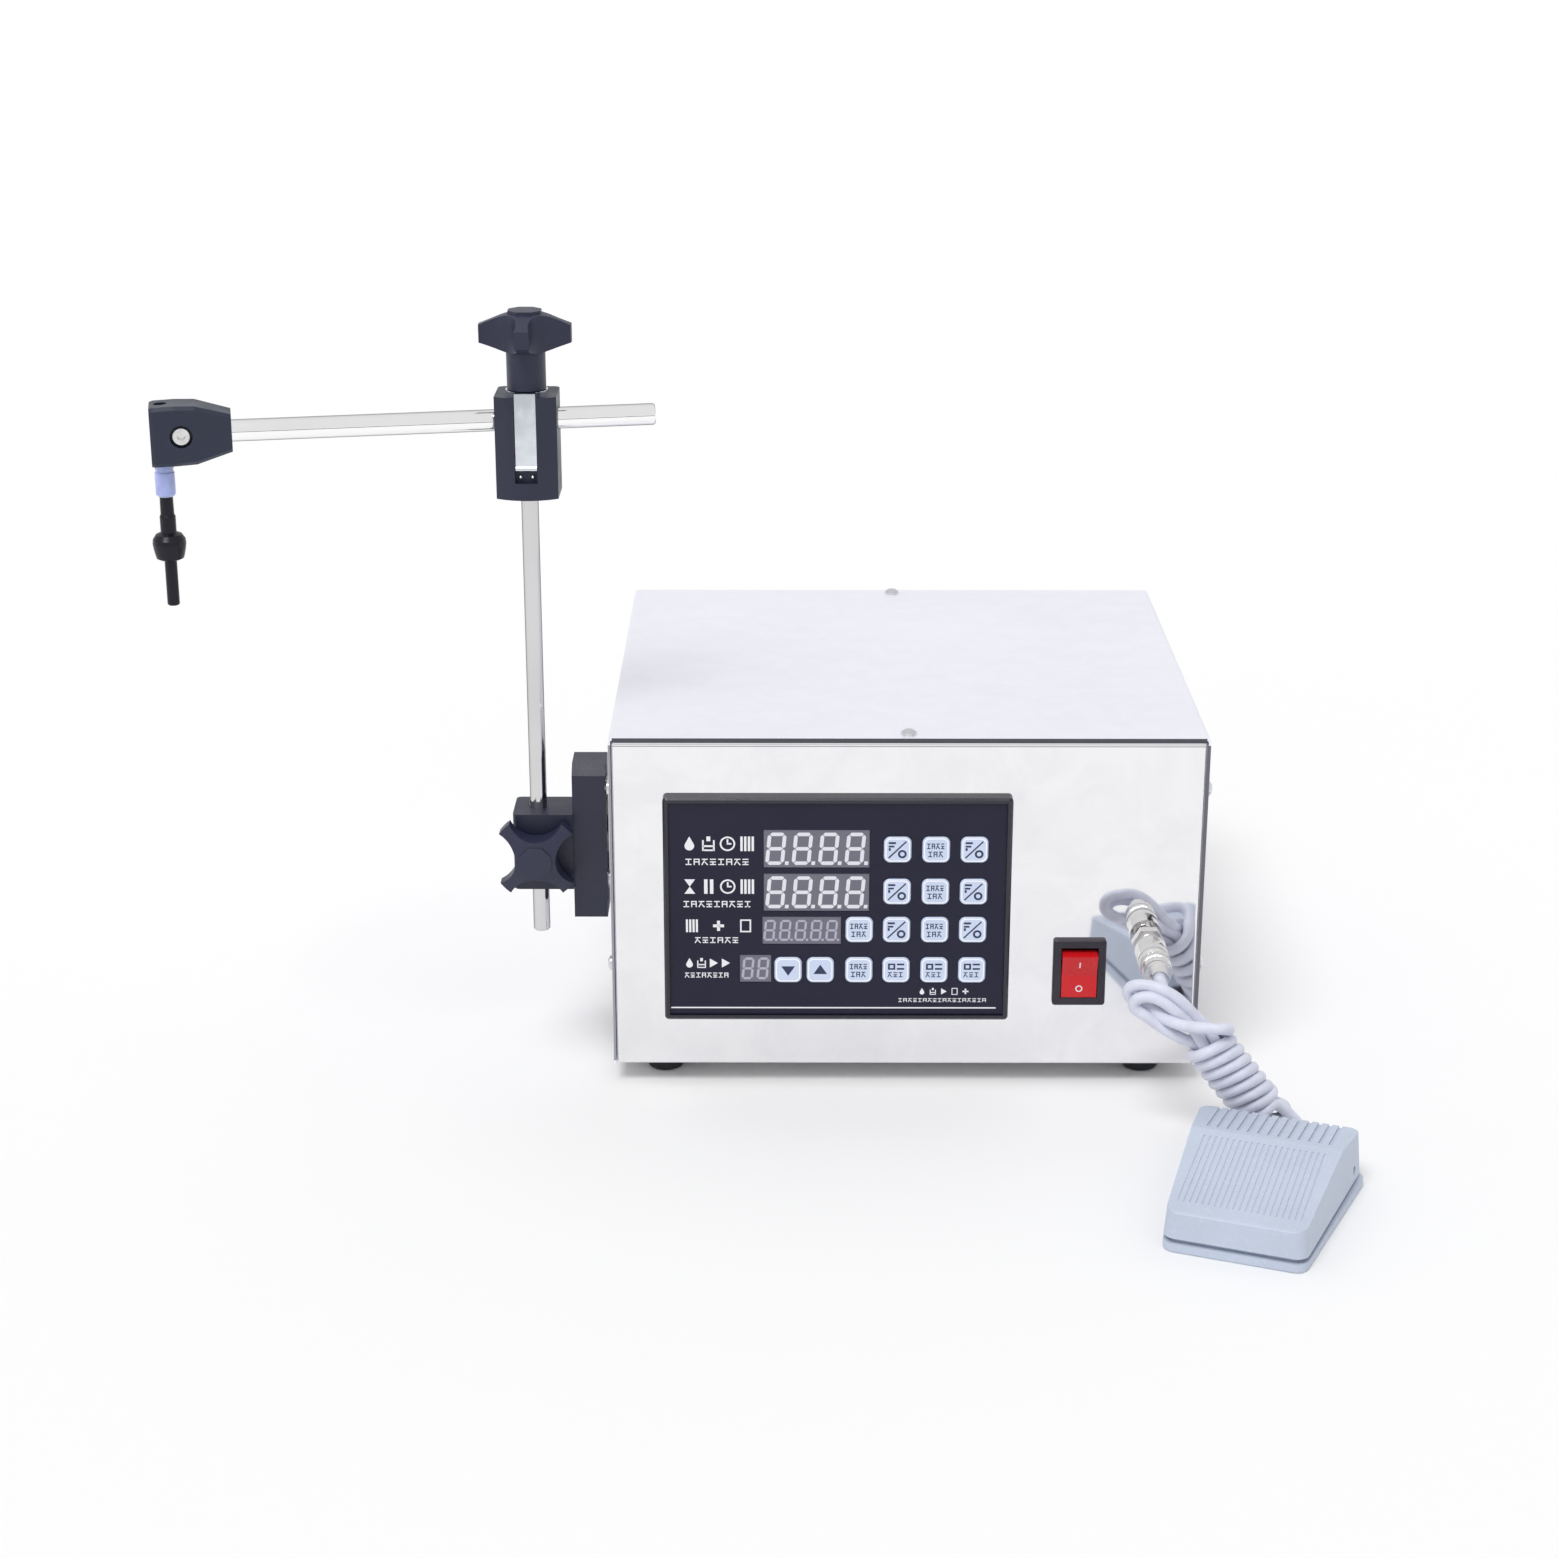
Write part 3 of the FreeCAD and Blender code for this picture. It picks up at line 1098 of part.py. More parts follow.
def mount_screws():
    """Bracket screws from inside the case with their spacers, and the clamp block's screws."""
    pieces = []
    for place in bar_screw_places():
        seat = place + ACROSS * SHEET
        head = hexagon_bar(seat, ACROSS, 8.0, 3.5)
        pieces.append(head.fuse(rod(seat, Vector(-1, 0, 0), BAR_SCREW_RADIUS - PUSH_FIT, SHEET + SPACER + 9)))
        pieces.append(pipe(place, Vector(-1, 0, 0), 5.0, BAR_SCREW_RADIUS + SCREW_CLEARANCE, SPACER))
    for place in block_screw_places():
        seat = place - ACROSS * 6
        head = rod(seat, ACROSS, 4.2, 4.5).cut(hexagon_bar(seat + ACROSS * 2, ACROSS, 4.0, 4))
        pieces.append(head.fuse(rod(seat, Vector(-1, 0, 0), BAR_SCREW_RADIUS - PUSH_FIT, BAR_WIDTH)))
    return pieces


def clamp_block():
    """Block that grips the post: round corners, upright bore with a slit, threaded cross hole."""
    z1 = BLOCK_Z + BLOCK_HEIGHT
    body = block(BLOCK_LEFT, BAR_LEFT, BLOCK_FRONT, BLOCK_FRONT + BLOCK_DEPTH, BLOCK_Z, z1)
    left = [edge for edge in edges_along(body, UP) if edge.CenterOfMass.x < POST_X]
    body = body.makeFillet(2.5, left)
    cuts = [rod(Vector(POST_X, POST_Y, BLOCK_Z - 1), UP, POST_RADIUS + RUNNING_GAP, BLOCK_HEIGHT + 2)]
    cuts.append(block(POST_X - 5.2, POST_X - 3.6, POST_Y, BLOCK_FRONT + BLOCK_DEPTH + 1, BLOCK_Z - 1, z1 + 1))
    cuts.append(rod(Vector(POST_X, BLOCK_FRONT - 1, side_knob_z()), BACKWARD, STUD_RADIUS + RUNNING_GAP,
                    POST_Y - BLOCK_FRONT))
    for place in block_screw_places():
        cuts.append(rod(Vector(BAR_LEFT + 1, place.y, place.z), Vector(-1, 0, 0), BAR_SCREW_RADIUS, 8))
    return body.cut(cuts)


def side_knob_z():
    """Height of the lower clamp knob: the middle of its block."""
    return BLOCK_Z + BLOCK_HEIGHT / 2


def star_knob(head, stem):
    """Four-armed knob along +Z from the foot of its stem: domed, arms tapering, concave between."""
    top = stem + head
    tip_high = top - KNOB_DOME
    tip_low = max(tip_high - KNOB_TIP, stem + 0.5)
    dome_step = KNOB_DOME * 0.12
    outline = [
        (0, 0),
        (KNOB_STEM, 0),
        (KNOB_STEM, stem),
        (KNOB_REACH, tip_low),
        (KNOB_REACH, tip_high),
        (KNOB_REACH * 0.55, top - KNOB_DOME * 0.4),
        (KNOB_REACH * 0.3, top - dome_step),
        (0, top),
    ]
    body = revolve(outline, Vector(0, 0, 0), UP)
    # Circles between the arms touch the hub and leave each arm its half width at the tip
    reach = KNOB_REACH - 0.3
    diagonal = math.sqrt(0.5)
    spread = reach ** 2 + KNOB_ARM_HALF ** 2 - KNOB_HUB ** 2
    distance = spread / (2 * (diagonal * (reach + KNOB_ARM_HALF) - KNOB_HUB))
    scoops = []
    for turn in range(4):
        angle = math.radians(45 + 90 * turn)
        centre = Vector(distance * math.cos(angle), distance * math.sin(angle), stem)
        scoops.append(rod(centre, UP, distance - KNOB_HUB, head + 1))
    body = body.cut(scoops)
    hub = octagon(KNOB_HUB * 0.86, top - KNOB_DOME * 0.6, KNOB_DOME * 0.6)
    return body.fuse(hub)


def octagon(radius, low, height):
    """Eight-sided boss on the knob's face."""
    points = []
    for turn in range(8):
        angle = math.radians(22.5 + 45 * turn)
        points.append(Vector(radius * math.cos(angle), radius * math.sin(angle), low))
    return prism(points, UP * height)


def side_knob():
    """Lower clamp knob, facing the front with its arms on the diagonals."""
    knob = star_knob(SIDE_KNOB_HEAD, SIDE_KNOB_STEM)
    knob.rotate(Vector(0, 0, 0), UP, 45)
    knob.rotate(Vector(0, 0, 0), ACROSS, 90)
    knob.translate(Vector(POST_X, BLOCK_FRONT - KNOB_GAP, side_knob_z()))
    return knob


def side_knob_stud():
    """Stud of the lower knob, stopping just short of the post."""
    length = BLOCK_DEPTH / 2 - POST_RADIUS
    return rod(Vector(POST_X, BLOCK_FRONT - KNOB_GAP, side_knob_z()), BACKWARD, STUD_RADIUS, length)


def top_knob():
    """Upper clamp knob, standing on the strap's washer."""
    knob = star_knob(KNOB_HEAD, KNOB_STEM_LENGTH)
    knob.translate(Vector(POST_X, POST_Y, CROSS_TOP + WASHER_THICKNESS + KNOB_GAP))
    return knob


def top_knob_stud():
    """Stud of the upper knob, stopping just short of the arm."""
    top = CROSS_TOP + WASHER_THICKNESS + KNOB_GAP
    low = ARM_Z + ARM_RADIUS + KNOB_GAP
    return rod(Vector(POST_X, POST_Y, low), UP, STUD_RADIUS, top - low)


def post():
    """Polished upright with a small chamfer at each end."""
    low = CASE_LOW + POST_LOW
    top = CASE_LOW + POST_TOP
    body = rod(Vector(POST_X, POST_Y, low), UP, POST_RADIUS, top - low)
    ends = [edge for edge in body.Edges if isinstance(edge.Curve, Part.Circle)]
    return body.makeChamfer(0.5, ends)


def cross_clamp():
    """Clamp body: bulged front, bores for post, arm and stud, slot for the strap."""
    half = CROSS_WIDTH / 2
    back = POST_Y + CROSS_BACK
    front = POST_Y - CROSS_FRONT
    corners = [
        Vector(POST_X - half, front, CROSS_Z),
        Vector(POST_X - half, back, CROSS_Z),
        Vector(POST_X + half, back, CROSS_Z),
        Vector(POST_X + half, front, CROSS_Z),
    ]
    edges = [Part.LineSegment(first, second).toShape() for first, second in zip(corners, corners[1:])]
    edges.append(Part.Arc(corners[3], Vector(POST_X, front - CROSS_BULGE, CROSS_Z), corners[0]).toShape())
    body = Part.Face(Part.Wire(edges)).extrude(UP * CROSS_HEIGHT)
    rear = [edge for edge in edges_along(body, UP) if edge.CenterOfMass.y > POST_Y]
    body = body.makeFillet(3.0, rear)
    lean = prism([
        Vector(POST_X - half - 1, front - CROSS_BULGE - 1, CROSS_TOP - 12),
        Vector(POST_X - half - 1, front - CROSS_BULGE, CROSS_TOP - 12),
        Vector(POST_X - half - 1, front - CROSS_BULGE + 2.2, CROSS_TOP + 1),
        Vector(POST_X - half - 1, front - CROSS_BULGE - 1, CROSS_TOP + 1),
    ], ACROSS * (CROSS_WIDTH + 2))
    body = body.cut(lean)
    slot_half = STRAP_WIDTH / 2 + STRAP_GAP
    slot_back = strap_front() + STRAP_THICKNESS
    cuts = [block(POST_X - slot_half, POST_X + slot_half, front - CROSS_BULGE - 1, slot_back,
                  CROSS_TOP - STRAP_LENGTH - 4.5, CROSS_TOP + 1)]
    cuts.append(rod(Vector(POST_X, POST_Y, CROSS_Z - 1), UP, POST_RADIUS + RUNNING_GAP,
                    CASE_LOW + POST_TOP - CROSS_Z + 1.5))
    cuts.append(rod(Vector(POST_X, POST_Y, ARM_Z), UP, STUD_RADIUS + RUNNING_GAP, CROSS_HEIGHT))
    arm_hole = rod(Vector(POST_X - 30, POST_Y, ARM_Z), ACROSS, ARM_RADIUS + RUNNING_GAP, 60)
    cuts.append(on_arm(arm_hole))
    for side in (-1, 1):
        hole = Vector(POST_X + side * RIVET_HALF_SPAN, front - CROSS_BULGE - 1, CROSS_TOP - STRAP_LENGTH - 2)
        cuts.append(rod(hole, BACKWARD, RIVET_RADIUS, CROSS_BULGE + 7))
    return body.cut(cuts)


def strap_front():
    """Depth of the strap's outer face in its slot."""
    return POST_Y - CROSS_FRONT - CROSS_BULGE + 2.6


def clamp_strap():
    """Zinc strap: round washer under the knob, band down the front slot, and two rivets below."""
    front = strap_front()
    back = front + STRAP_THICKNESS
    half = STRAP_WIDTH / 2
    top = CROSS_TOP + WASHER_THICKNESS
    washer = rod(Vector(POST_X, POST_Y, CROSS_TOP), UP, WASHER_RADIUS, WASHER_THICKNESS)
    tongue = block(POST_X - half, POST_X + half, front, POST_Y, CROSS_TOP, top)
    band = block(POST_X - half, POST_X + half, front, back, CROSS_TOP - STRAP_LENGTH + 2, top)
    low = CROSS_TOP - STRAP_LENGTH + 2
    curl = rod(Vector(POST_X - half, front, low), ACROSS, STRAP_THICKNESS, STRAP_WIDTH)
    curl = curl.cut(block(POST_X - STRAP_WIDTH, POST_X + STRAP_WIDTH, back, back + 5, CROSS_Z, CROSS_TOP))
    strap = washer.fuse([tongue, band, curl])
    strap = strap.cut(rod(Vector(POST_X, POST_Y, CROSS_TOP - 1), UP, STUD_RADIUS + KNOB_GAP, 4))
    pieces = [strap]
    for side in (-1, 1):
        low = Vector(POST_X + side * RIVET_HALF_SPAN, front + 0.6, CROSS_TOP - STRAP_LENGTH - 2)
        pieces.append(rod(low, BACKWARD, RIVET_RADIUS, 5).fuse(Part.makeSphere(RIVET_RADIUS, low)))
    return pieces


def on_arm(shape):
    """Turn a shape from straight across to the arm's real direction about the post."""
    return placed(shape, ARM_TURN, Vector(POST_X, POST_Y, 0), Vector(0, 0, 0))


def arm_rod():
    """Polished arm through the cross clamp, chamfered at both ends."""
    body = rod(Vector(POST_X - ARM_LEFT, POST_Y, ARM_Z), ACROSS, ARM_RADIUS, ARM_LEFT + ARM_RIGHT)
    ends = [edge for edge in body.Edges if isinstance(edge.Curve, Part.Circle)]
    return on_arm(body.makeChamfer(0.6, ends))


def arm_point(left, forward, up):
    """Point measured left of the post along the arm before it is turned."""
    return Vector(POST_X - left, POST_Y - forward, ARM_Z + up)


def holder_section(left, top, bottom, half_depth):
    """Upright section of the holder with its four corners cut."""
    cut = HOLDER_EDGE
    corners = [
        (half_depth - cut, top),
        (-half_depth + cut, top),
        (-half_depth, top - cut),
        (-half_depth, bottom + cut),
        (-half_depth + cut, bottom),
        (half_depth - cut, bottom),
        (half_depth, bottom + cut),
        (half_depth, top - cut),
    ]
    points = [arm_point(left, forward, up) for forward, up in corners]
    return Part.makePolygon(points + [points[0]])


def nozzle_holder():
    """Moulded holder: deep at its end, tapering to the arm, with bores for arm, nozzle and screw."""
    depth = HOLDER_HALF_DEPTH
    sections = [
        holder_section(HOLDER_END, HOLDER_TOP - 0.5, -HOLDER_BOTTOM, depth - 0.6),
        holder_section(HOLDER_END - 1.5, HOLDER_TOP, -HOLDER_BOTTOM, depth),
        holder_section(HOLDER_END - 11, HOLDER_TOP + 0.4, -HOLDER_BOTTOM + 0.1, depth),
        holder_section(HOLDER_END - 20, HOLDER_TOP + 0.1, -HOLDER_BOTTOM + 0.6, depth),
        holder_section(HOLDER_MOUTH, HOLDER_MOUTH_HALF + 0.6, -HOLDER_MOUTH_HALF, HOLDER_MOUTH_HALF),
    ]
    body = Part.makeLoft(sections, True, True)
    screw = arm_point(CLAMP_SCREW_AT, depth + 1, 0)
    cuts = [
        rod(arm_point(ARM_LEFT + 0.3, 0, 0), ACROSS, ARM_RADIUS + RUNNING_GAP, ARM_LEFT),
        rod(arm_point(NOZZLE_AT, 0, -30), UP, HOSE_BORE, 60),
        rod(arm_point(NOZZLE_AT, 0, -30), UP, NECK_RADIUS, 30 - HOLDER_BOTTOM + NECK_LENGTH),
        rod(screw, BACKWARD, CLAMP_COUNTERBORE, CLAMP_COUNTERBORE_DEPTH + 1),
        rod(screw, BACKWARD, CLAMP_SCREW_RADIUS + RUNNING_GAP, depth),
        Part.makeCone(ARM_RADIUS + RUNNING_GAP, ARM_RADIUS + 2, 2, arm_point(HOLDER_MOUTH + 2, 0, 0), ACROSS),
    ]
    return on_arm(body.cut(cuts))


def holder_screw():
    """Socket-head screw that locks the holder on the arm."""
    seat = arm_point(CLAMP_SCREW_AT, HOLDER_HALF_DEPTH - CLAMP_COUNTERBORE_DEPTH, 0)
    head = rod(seat, FORWARD, CLAMP_HEAD_RADIUS, 3.6)
    head = head.cut(hexagon_bar(seat + FORWARD * 1.6, FORWARD, 3.4, 3))
    length = HOLDER_HALF_DEPTH - CLAMP_COUNTERBORE_DEPTH - ARM_RADIUS - KNOB_GAP
    return on_arm(head.fuse(rod(seat, BACKWARD, CLAMP_SCREW_RADIUS, length)))


def nozzle_sleeve():
    """Soft translucent sleeve: a neck pushed into the holder and a thicker body with a ring."""
    top = ARM_Z - HOLDER_BOTTOM
    outline = [
        (NOZZLE_SPIGOT, -SLEEVE_LENGTH),
        (SLEEVE_RADIUS - 0.8, -SLEEVE_LENGTH),
        (SLEEVE_RADIUS, -SLEEVE_LENGTH + 1),
        (SLEEVE_RADIUS, -4.2),
        (SLEEVE_RADIUS - 0.4, -3.8),
        (SLEEVE_RADIUS - 0.4, -2.4),
        (SLEEVE_RADIUS, -2.0),
        (SLEEVE_RADIUS, 0),
        (NECK_RADIUS - PUSH_FIT, 0),
        (NECK_RADIUS - PUSH_FIT, NECK_LENGTH),
        (NOZZLE_SPIGOT, NECK_LENGTH),
    ]
    return on_arm(revolve(outline, Vector(POST_X - NOZZLE_AT, POST_Y, top), UP))


def nozzle_tip():
    """Filling nozzle: spigot in the sleeve, stem, ball collar and tip, with a bore throughout."""
    spigot = SLEEVE_LENGTH - 2
    stem = NOZZLE_STEM_LENGTH
    ball = stem + NOZZLE_BALL_HEIGHT
    collar = ball - NOZZLE_COLLAR_HEIGHT
    end = ball + NOZZLE_TIP_LENGTH
    outline = [
        (NOZZLE_BORE, spigot),
        (NOZZLE_SPIGOT - PUSH_FIT, spigot),
        (NOZZLE_SPIGOT - PUSH_FIT, 0),
        (NOZZLE_STEM_TOP, 0),
        (NOZZLE_STEM_TOP + 0.1, -stem * 0.5),
        (NOZZLE_STEM_LOW, -stem * 0.56),
        (NOZZLE_STEM_LOW, -stem),
        (NOZZLE_BALL * 0.78, -stem - 1.0),
        (NOZZLE_BALL * 0.97, -stem - 3.2),
        (NOZZLE_BALL, -stem - 5.2),
        (NOZZLE_BALL * 0.96, -stem - 7.4),
        (NOZZLE_COLLAR + 0.5, -collar),
        (NOZZLE_COLLAR, -ball + 0.8),
        (NOZZLE_COLLAR - 1.6, -ball),
        (NOZZLE_TIP_RADIUS, -ball),
        (NOZZLE_TIP_RADIUS, -end + 0.5),
        (NOZZLE_TIP_RADIUS - 0.5, -end),
        (NOZZLE_BORE, -end),
    ]
    top = ARM_Z - HOLDER_BOTTOM - SLEEVE_LENGTH
    return on_arm(revolve(outline, Vector(POST_X - NOZZLE_AT, POST_Y, top), UP))


def gear_centres():
    """Axes of the driven gear below and the idler above."""
    half = GEAR_CENTRES / 2
    return Vector(PUMP_X, 0, PUMP_Z - half), Vector(PUMP_X, 0, PUMP_Z + half)


def gear_outline(phase):
    """Closed outline of a gear in the XZ plane; flanks follow the involute, tips and roots are arcs."""
    pressure = math.radians(GEAR_PRESSURE_ANGLE)
    base_radius = GEAR_PITCH_RADIUS * math.cos(pressure)
    root_radius = GEAR_PITCH_RADIUS - GEAR_DEDENDUM * GEAR_MODULE
    thickness = math.pi / (2 * GEAR_TEETH) - GEAR_BACKLASH / (2 * GEAR_PITCH_RADIUS)
    pitch_involute = math.tan(pressure) - pressure

    def half_angle(radius):
        """Half the angle that a tooth spans at a radius."""
        roll = math.acos(min(1.0, base_radius / radius))
        return thickness + pitch_involute - (math.tan(roll) - roll)

    def at(radius, angle):
        """Point of the outline from its radius and angle."""
        return Vector(radius * math.cos(angle), 0, radius * math.sin(angle))

    def line(first, second):
        """Straight edge between two points."""
        return Part.LineSegment(first, second).toShape()

    middle_radius = (base_radius + GEAR_TIP_RADIUS) / 2
    edges = []
    for tooth in range(GEAR_TEETH):
        centre = phase + 2 * math.pi * tooth / GEAR_TEETH
        root = half_angle(base_radius)
        middle = half_angle(middle_radius)
        tip = half_angle(GEAR_TIP_RADIUS)
        next_root = centre + 2 * math.pi / GEAR_TEETH - root
        edges.append(line(at(root_radius, centre - root), at(base_radius, centre - root)))
        edges.append(Part.Arc(at(base_radius, centre - root), at(middle_radius, centre - middle),
                              at(GEAR_TIP_RADIUS, centre - tip)).toShape())
        edges.append(Part.Arc(at(GEAR_TIP_RADIUS, centre - tip), at(GEAR_TIP_RADIUS, centre),
                              at(GEAR_TIP_RADIUS, centre + tip)).toShape())
        edges.append(Part.Arc(at(GEAR_TIP_RADIUS, centre + tip), at(middle_radius, centre + middle),
                              at(base_radius, centre + root)).toShape())
        edges.append(line(at(base_radius, centre + root), at(root_radius, centre + root)))
        edges.append(Part.Arc(at(root_radius, centre + root),
                              at(root_radius, centre + math.pi / GEAR_TEETH),
                              at(root_radius, next_root)).toShape())
    return Part.Wire(edges)


def pump_gear(centre, phase, shaft_front, shaft_back):
    """Gear with its shaft, running along Y."""
    gear = Part.Face(gear_outline(phase)).extrude(BACKWARD * GEAR_WIDTH)
    gear.translate(centre + BACKWARD * (CHAMBER_FRONT + CHAMBER_GAP))
    shaft = rod(centre + BACKWARD * shaft_front, BACKWARD, GEAR_SHAFT, shaft_back - shaft_front)
    return gear.fuse(shaft)


def pump_drive():
    """Driven gear with a long shaft into the motor."""
    lower = gear_centres()[0]
    shaft_end = PUMP_BACK + PUMP_COVER / 2 - CHAMBER_GAP
    return pump_gear(lower, math.pi / 2, PUMP_FRONT - MOTOR_SHAFT_DEPTH, shaft_end)


def pump_idler():
    """Idler gear in mesh with the driven gear."""
    upper = gear_centres()[1]
    half_tooth = math.pi / GEAR_TEETH
    shaft_end = PUMP_BACK + PUMP_COVER / 2 - CHAMBER_GAP
    return pump_gear(upper, -math.pi / 2 + half_tooth, CHAMBER_FRONT - 5, shaft_end)


def pump_head():
    """Pump housing with a figure-eight chamber, its rear cover, ports and hose stubs."""
    body = rounded_block(PUMP_X - PUMP_HALF_WIDTH, PUMP_X + PUMP_HALF_WIDTH, PUMP_FRONT, PUMP_BACK,
                         PUMP_Z - PUMP_HALF_HEIGHT, PUMP_Z + PUMP_HALF_HEIGHT, 5, BACKWARD)
    lower, upper = gear_centres()
    chamber = GEAR_WIDTH + 2 * CHAMBER_GAP
    for centre in (lower, upper):
        start = centre + BACKWARD * CHAMBER_FRONT
        body = body.cut(rod(start, BACKWARD, GEAR_TIP_RADIUS + CHAMBER_GAP, chamber))
    for start in (lower + BACKWARD * (PUMP_FRONT - 1), upper + BACKWARD * (CHAMBER_FRONT - 5.2)):
        body = body.cut(rod(start, BACKWARD, GEAR_SHAFT + RUNNING_GAP, PUMP_BODY_DEPTH))
    body = body.cut(block(PUMP_X - PORT_HALF_SPAN - PORT_RADIUS, PUMP_X + PORT_HALF_SPAN + PORT_RADIUS,
                          CHAMBER_FRONT, PUMP_BACK + 1, PUMP_Z - PORT_RADIUS, PUMP_Z + PORT_RADIUS))
    cover = rounded_block(PUMP_X - PUMP_HALF_WIDTH, PUMP_X + PUMP_HALF_WIDTH, PUMP_BACK, PUMP_END,
                          PUMP_Z - PUMP_HALF_HEIGHT, PUMP_Z + PUMP_HALF_HEIGHT, 5, BACKWARD)
    for centre in (lower, upper):
        cover = cover.cut(rod(centre + BACKWARD * (PUMP_BACK - 1), BACKWARD, GEAR_SHAFT + RUNNING_GAP,
                              1 + PUMP_COVER / 2))
    for line in hose_lines():
        start = Vector(line.x, PUMP_END, line.z)
        cover = cover.fuse(rod(start, BACKWARD, HOSE_STUB_RADIUS, HOSE_STUB_LENGTH))
    for line in hose_lines():
        cover = cover.cut(rod(Vector(line.x, PUMP_BACK - 1, line.z), BACKWARD, PORT_RADIUS, 100))
    return [body, cover]


def pump_motor():
    """Motor can with an end boss, a foot bracket on the base and a shaft bore."""
    lower = gear_centres()[0]
    back = PUMP_FRONT
    can_start = lower + BACKWARD * (back - MOTOR_LENGTH - 4)
    can = rod(can_start, BACKWARD, MOTOR_RADIUS, MOTOR_LENGTH)
    rims = [edge for edge in can.Edges if isinstance(edge.Curve, Part.Circle)]
    can = can.makeFillet(2.5, rims)
    can = can.fuse(rod(lower + BACKWARD * (back - 4), BACKWARD, 11, 4))
    can = can.fuse(rod(can_start, FORWARD, 8, 5))
    half = MOTOR_RADIUS * 0.8
    middle = back - MOTOR_LENGTH / 2
    cradle = block(lower.x - half, lower.x + half, middle - 22, middle + 22, FLOOR_TOP, lower.z)
    feet = block(lower.x - half - 12, lower.x + half + 12, middle - 22, middle + 22, FLOOR_TOP, FLOOR_TOP + 3)
    cradle = cradle.fuse(feet).cut(rod(can_start, BACKWARD, MOTOR_RADIUS, MOTOR_LENGTH))
    shaft_hole = rod(lower + BACKWARD * (back + 1), FORWARD, GEAR_SHAFT + RUNNING_GAP, MOTOR_SHAFT_DEPTH + 1.3)
    can = can.cut(shaft_hole)
    return [can, cradle]


def liquid_fittings():
    """Bulkhead hose fittings in the rear wall: stubs inside and out, flange, washer and nut."""
    pieces = []
    inner = CASE_DEPTH - SHEET
    for line in hose_lines():
        start = Vector(line.x, inner - HOSE_STUB_LENGTH - FITTING_NUT_THICKNESS, line.z)
        length = CASE_DEPTH + FITTING_NUT_THICKNESS + HOSE_STUB_LENGTH - start.y
        body = rod(start, BACKWARD, HOSE_STUB_RADIUS, length)
        flange = rod(Vector(line.x, CASE_DEPTH, line.z), BACKWARD, FITTING_NUT, FITTING_NUT_THICKNESS)
        end = start + BACKWARD * length
        tip = Part.makeCone(HOSE_STUB_RADIUS, HOSE_STUB_RADIUS - HOSE_STUB_TAPER, 3, end, BACKWARD)
        body = body.fuse([flange, tip])
        pieces.append(body.cut(rod(start - BACKWARD, BACKWARD, PORT_RADIUS, length + 6)))
        seat = Vector(line.x, inner, line.z)
        nut = hexagon_bar(seat, FORWARD, 2 * FITTING_NUT * 0.88, FITTING_NUT_THICKNESS)
        pieces.append(nut.cut(rod(seat, FORWARD, HOSE_STUB_RADIUS, FITTING_NUT_THICKNESS)))
    return pieces


def pump_hoses():
    """Silicone hoses from the pump's stubs to the rear fittings."""
    inner = CASE_DEPTH - SHEET
    hoses = []
    for line in hose_lines():
        start = Vector(line.x, PUMP_END + 2, line.z)
        length = inner - FITTING_NUT_THICKNESS - 1 - start.y
        hoses.append(pipe(start, BACKWARD, HOSE_OUTER, HOSE_STUB_RADIUS + PUSH_FIT, length))
    return hoses


def mains_inlet():
    """Appliance inlet: flange with screw ears, recess with two cut corners and three blades."""
    half_x = INLET_WIDTH / 2
    half_z = INLET_HEIGHT / 2
    face = CASE_DEPTH + INLET_FACE
    body = block(INLET_X - half_x, INLET_X + half_x, CASE_DEPTH - INLET_DEPTH + INLET_FACE, face,
                 INLET_Z - half_z, INLET_Z + half_z)
    ears = prism([
        Vector(INLET_X - INLET_EAR, CASE_DEPTH, INLET_Z - 4),
        Vector(INLET_X - half_x - 1, CASE_DEPTH, INLET_Z - half_z - 1.5),
        Vector(INLET_X + half_x + 1, CASE_DEPTH, INLET_Z - half_z - 1.5),
        Vector(INLET_X + INLET_EAR, CASE_DEPTH, INLET_Z - 4),
        Vector(INLET_X + INLET_EAR, CASE_DEPTH, INLET_Z + 4),
        Vector(INLET_X + half_x + 1, CASE_DEPTH, INLET_Z + half_z + 1.5),
        Vector(INLET_X - half_x - 1, CASE_DEPTH, INLET_Z + half_z + 1.5),
        Vector(INLET_X - INLET_EAR, CASE_DEPTH, INLET_Z + 4),
    ], BACKWARD * INLET_FACE)
    body = body.fuse(ears)
    width, height = INLET_RECESS
    half_x = width / 2
    half_z = height / 2
    low = face - INLET_RECESS_DEPTH
    recess = prism([
        Vector(INLET_X - half_x, low, INLET_Z - half_z),
        Vector(INLET_X + half_x, low, INLET_Z - half_z),
        Vector(INLET_X + half_x, low, INLET_Z + half_z - INLET_CORNER),
        Vector(INLET_X + half_x - INLET_CORNER, low, INLET_Z + half_z),
        Vector(INLET_X - half_x + INLET_CORNER, low, INLET_Z + half_z),
        Vector(INLET_X - half_x, low, INLET_Z + half_z - INLET_CORNER),
    ], BACKWARD * (INLET_RECESS_DEPTH + 1))
    cuts = [recess]
    for side in (-INLET_SCREW_SPAN, INLET_SCREW_SPAN):
        cuts.append(rod(Vector(INLET_X + side, CASE_DEPTH - 1, INLET_Z), BACKWARD, 1.7, INLET_FACE + 2))
    body = body.cut(cuts)
    blades = []
    for x, z in ((-7, -2), (0, 2), (7, -2)):
        blades.append(block(INLET_X + x - 1, INLET_X + x + 1, low - 1, low + INLET_PIN_LENGTH,
                            INLET_Z + z - 2, INLET_Z + z + 2))
    return body.fuse(blades)


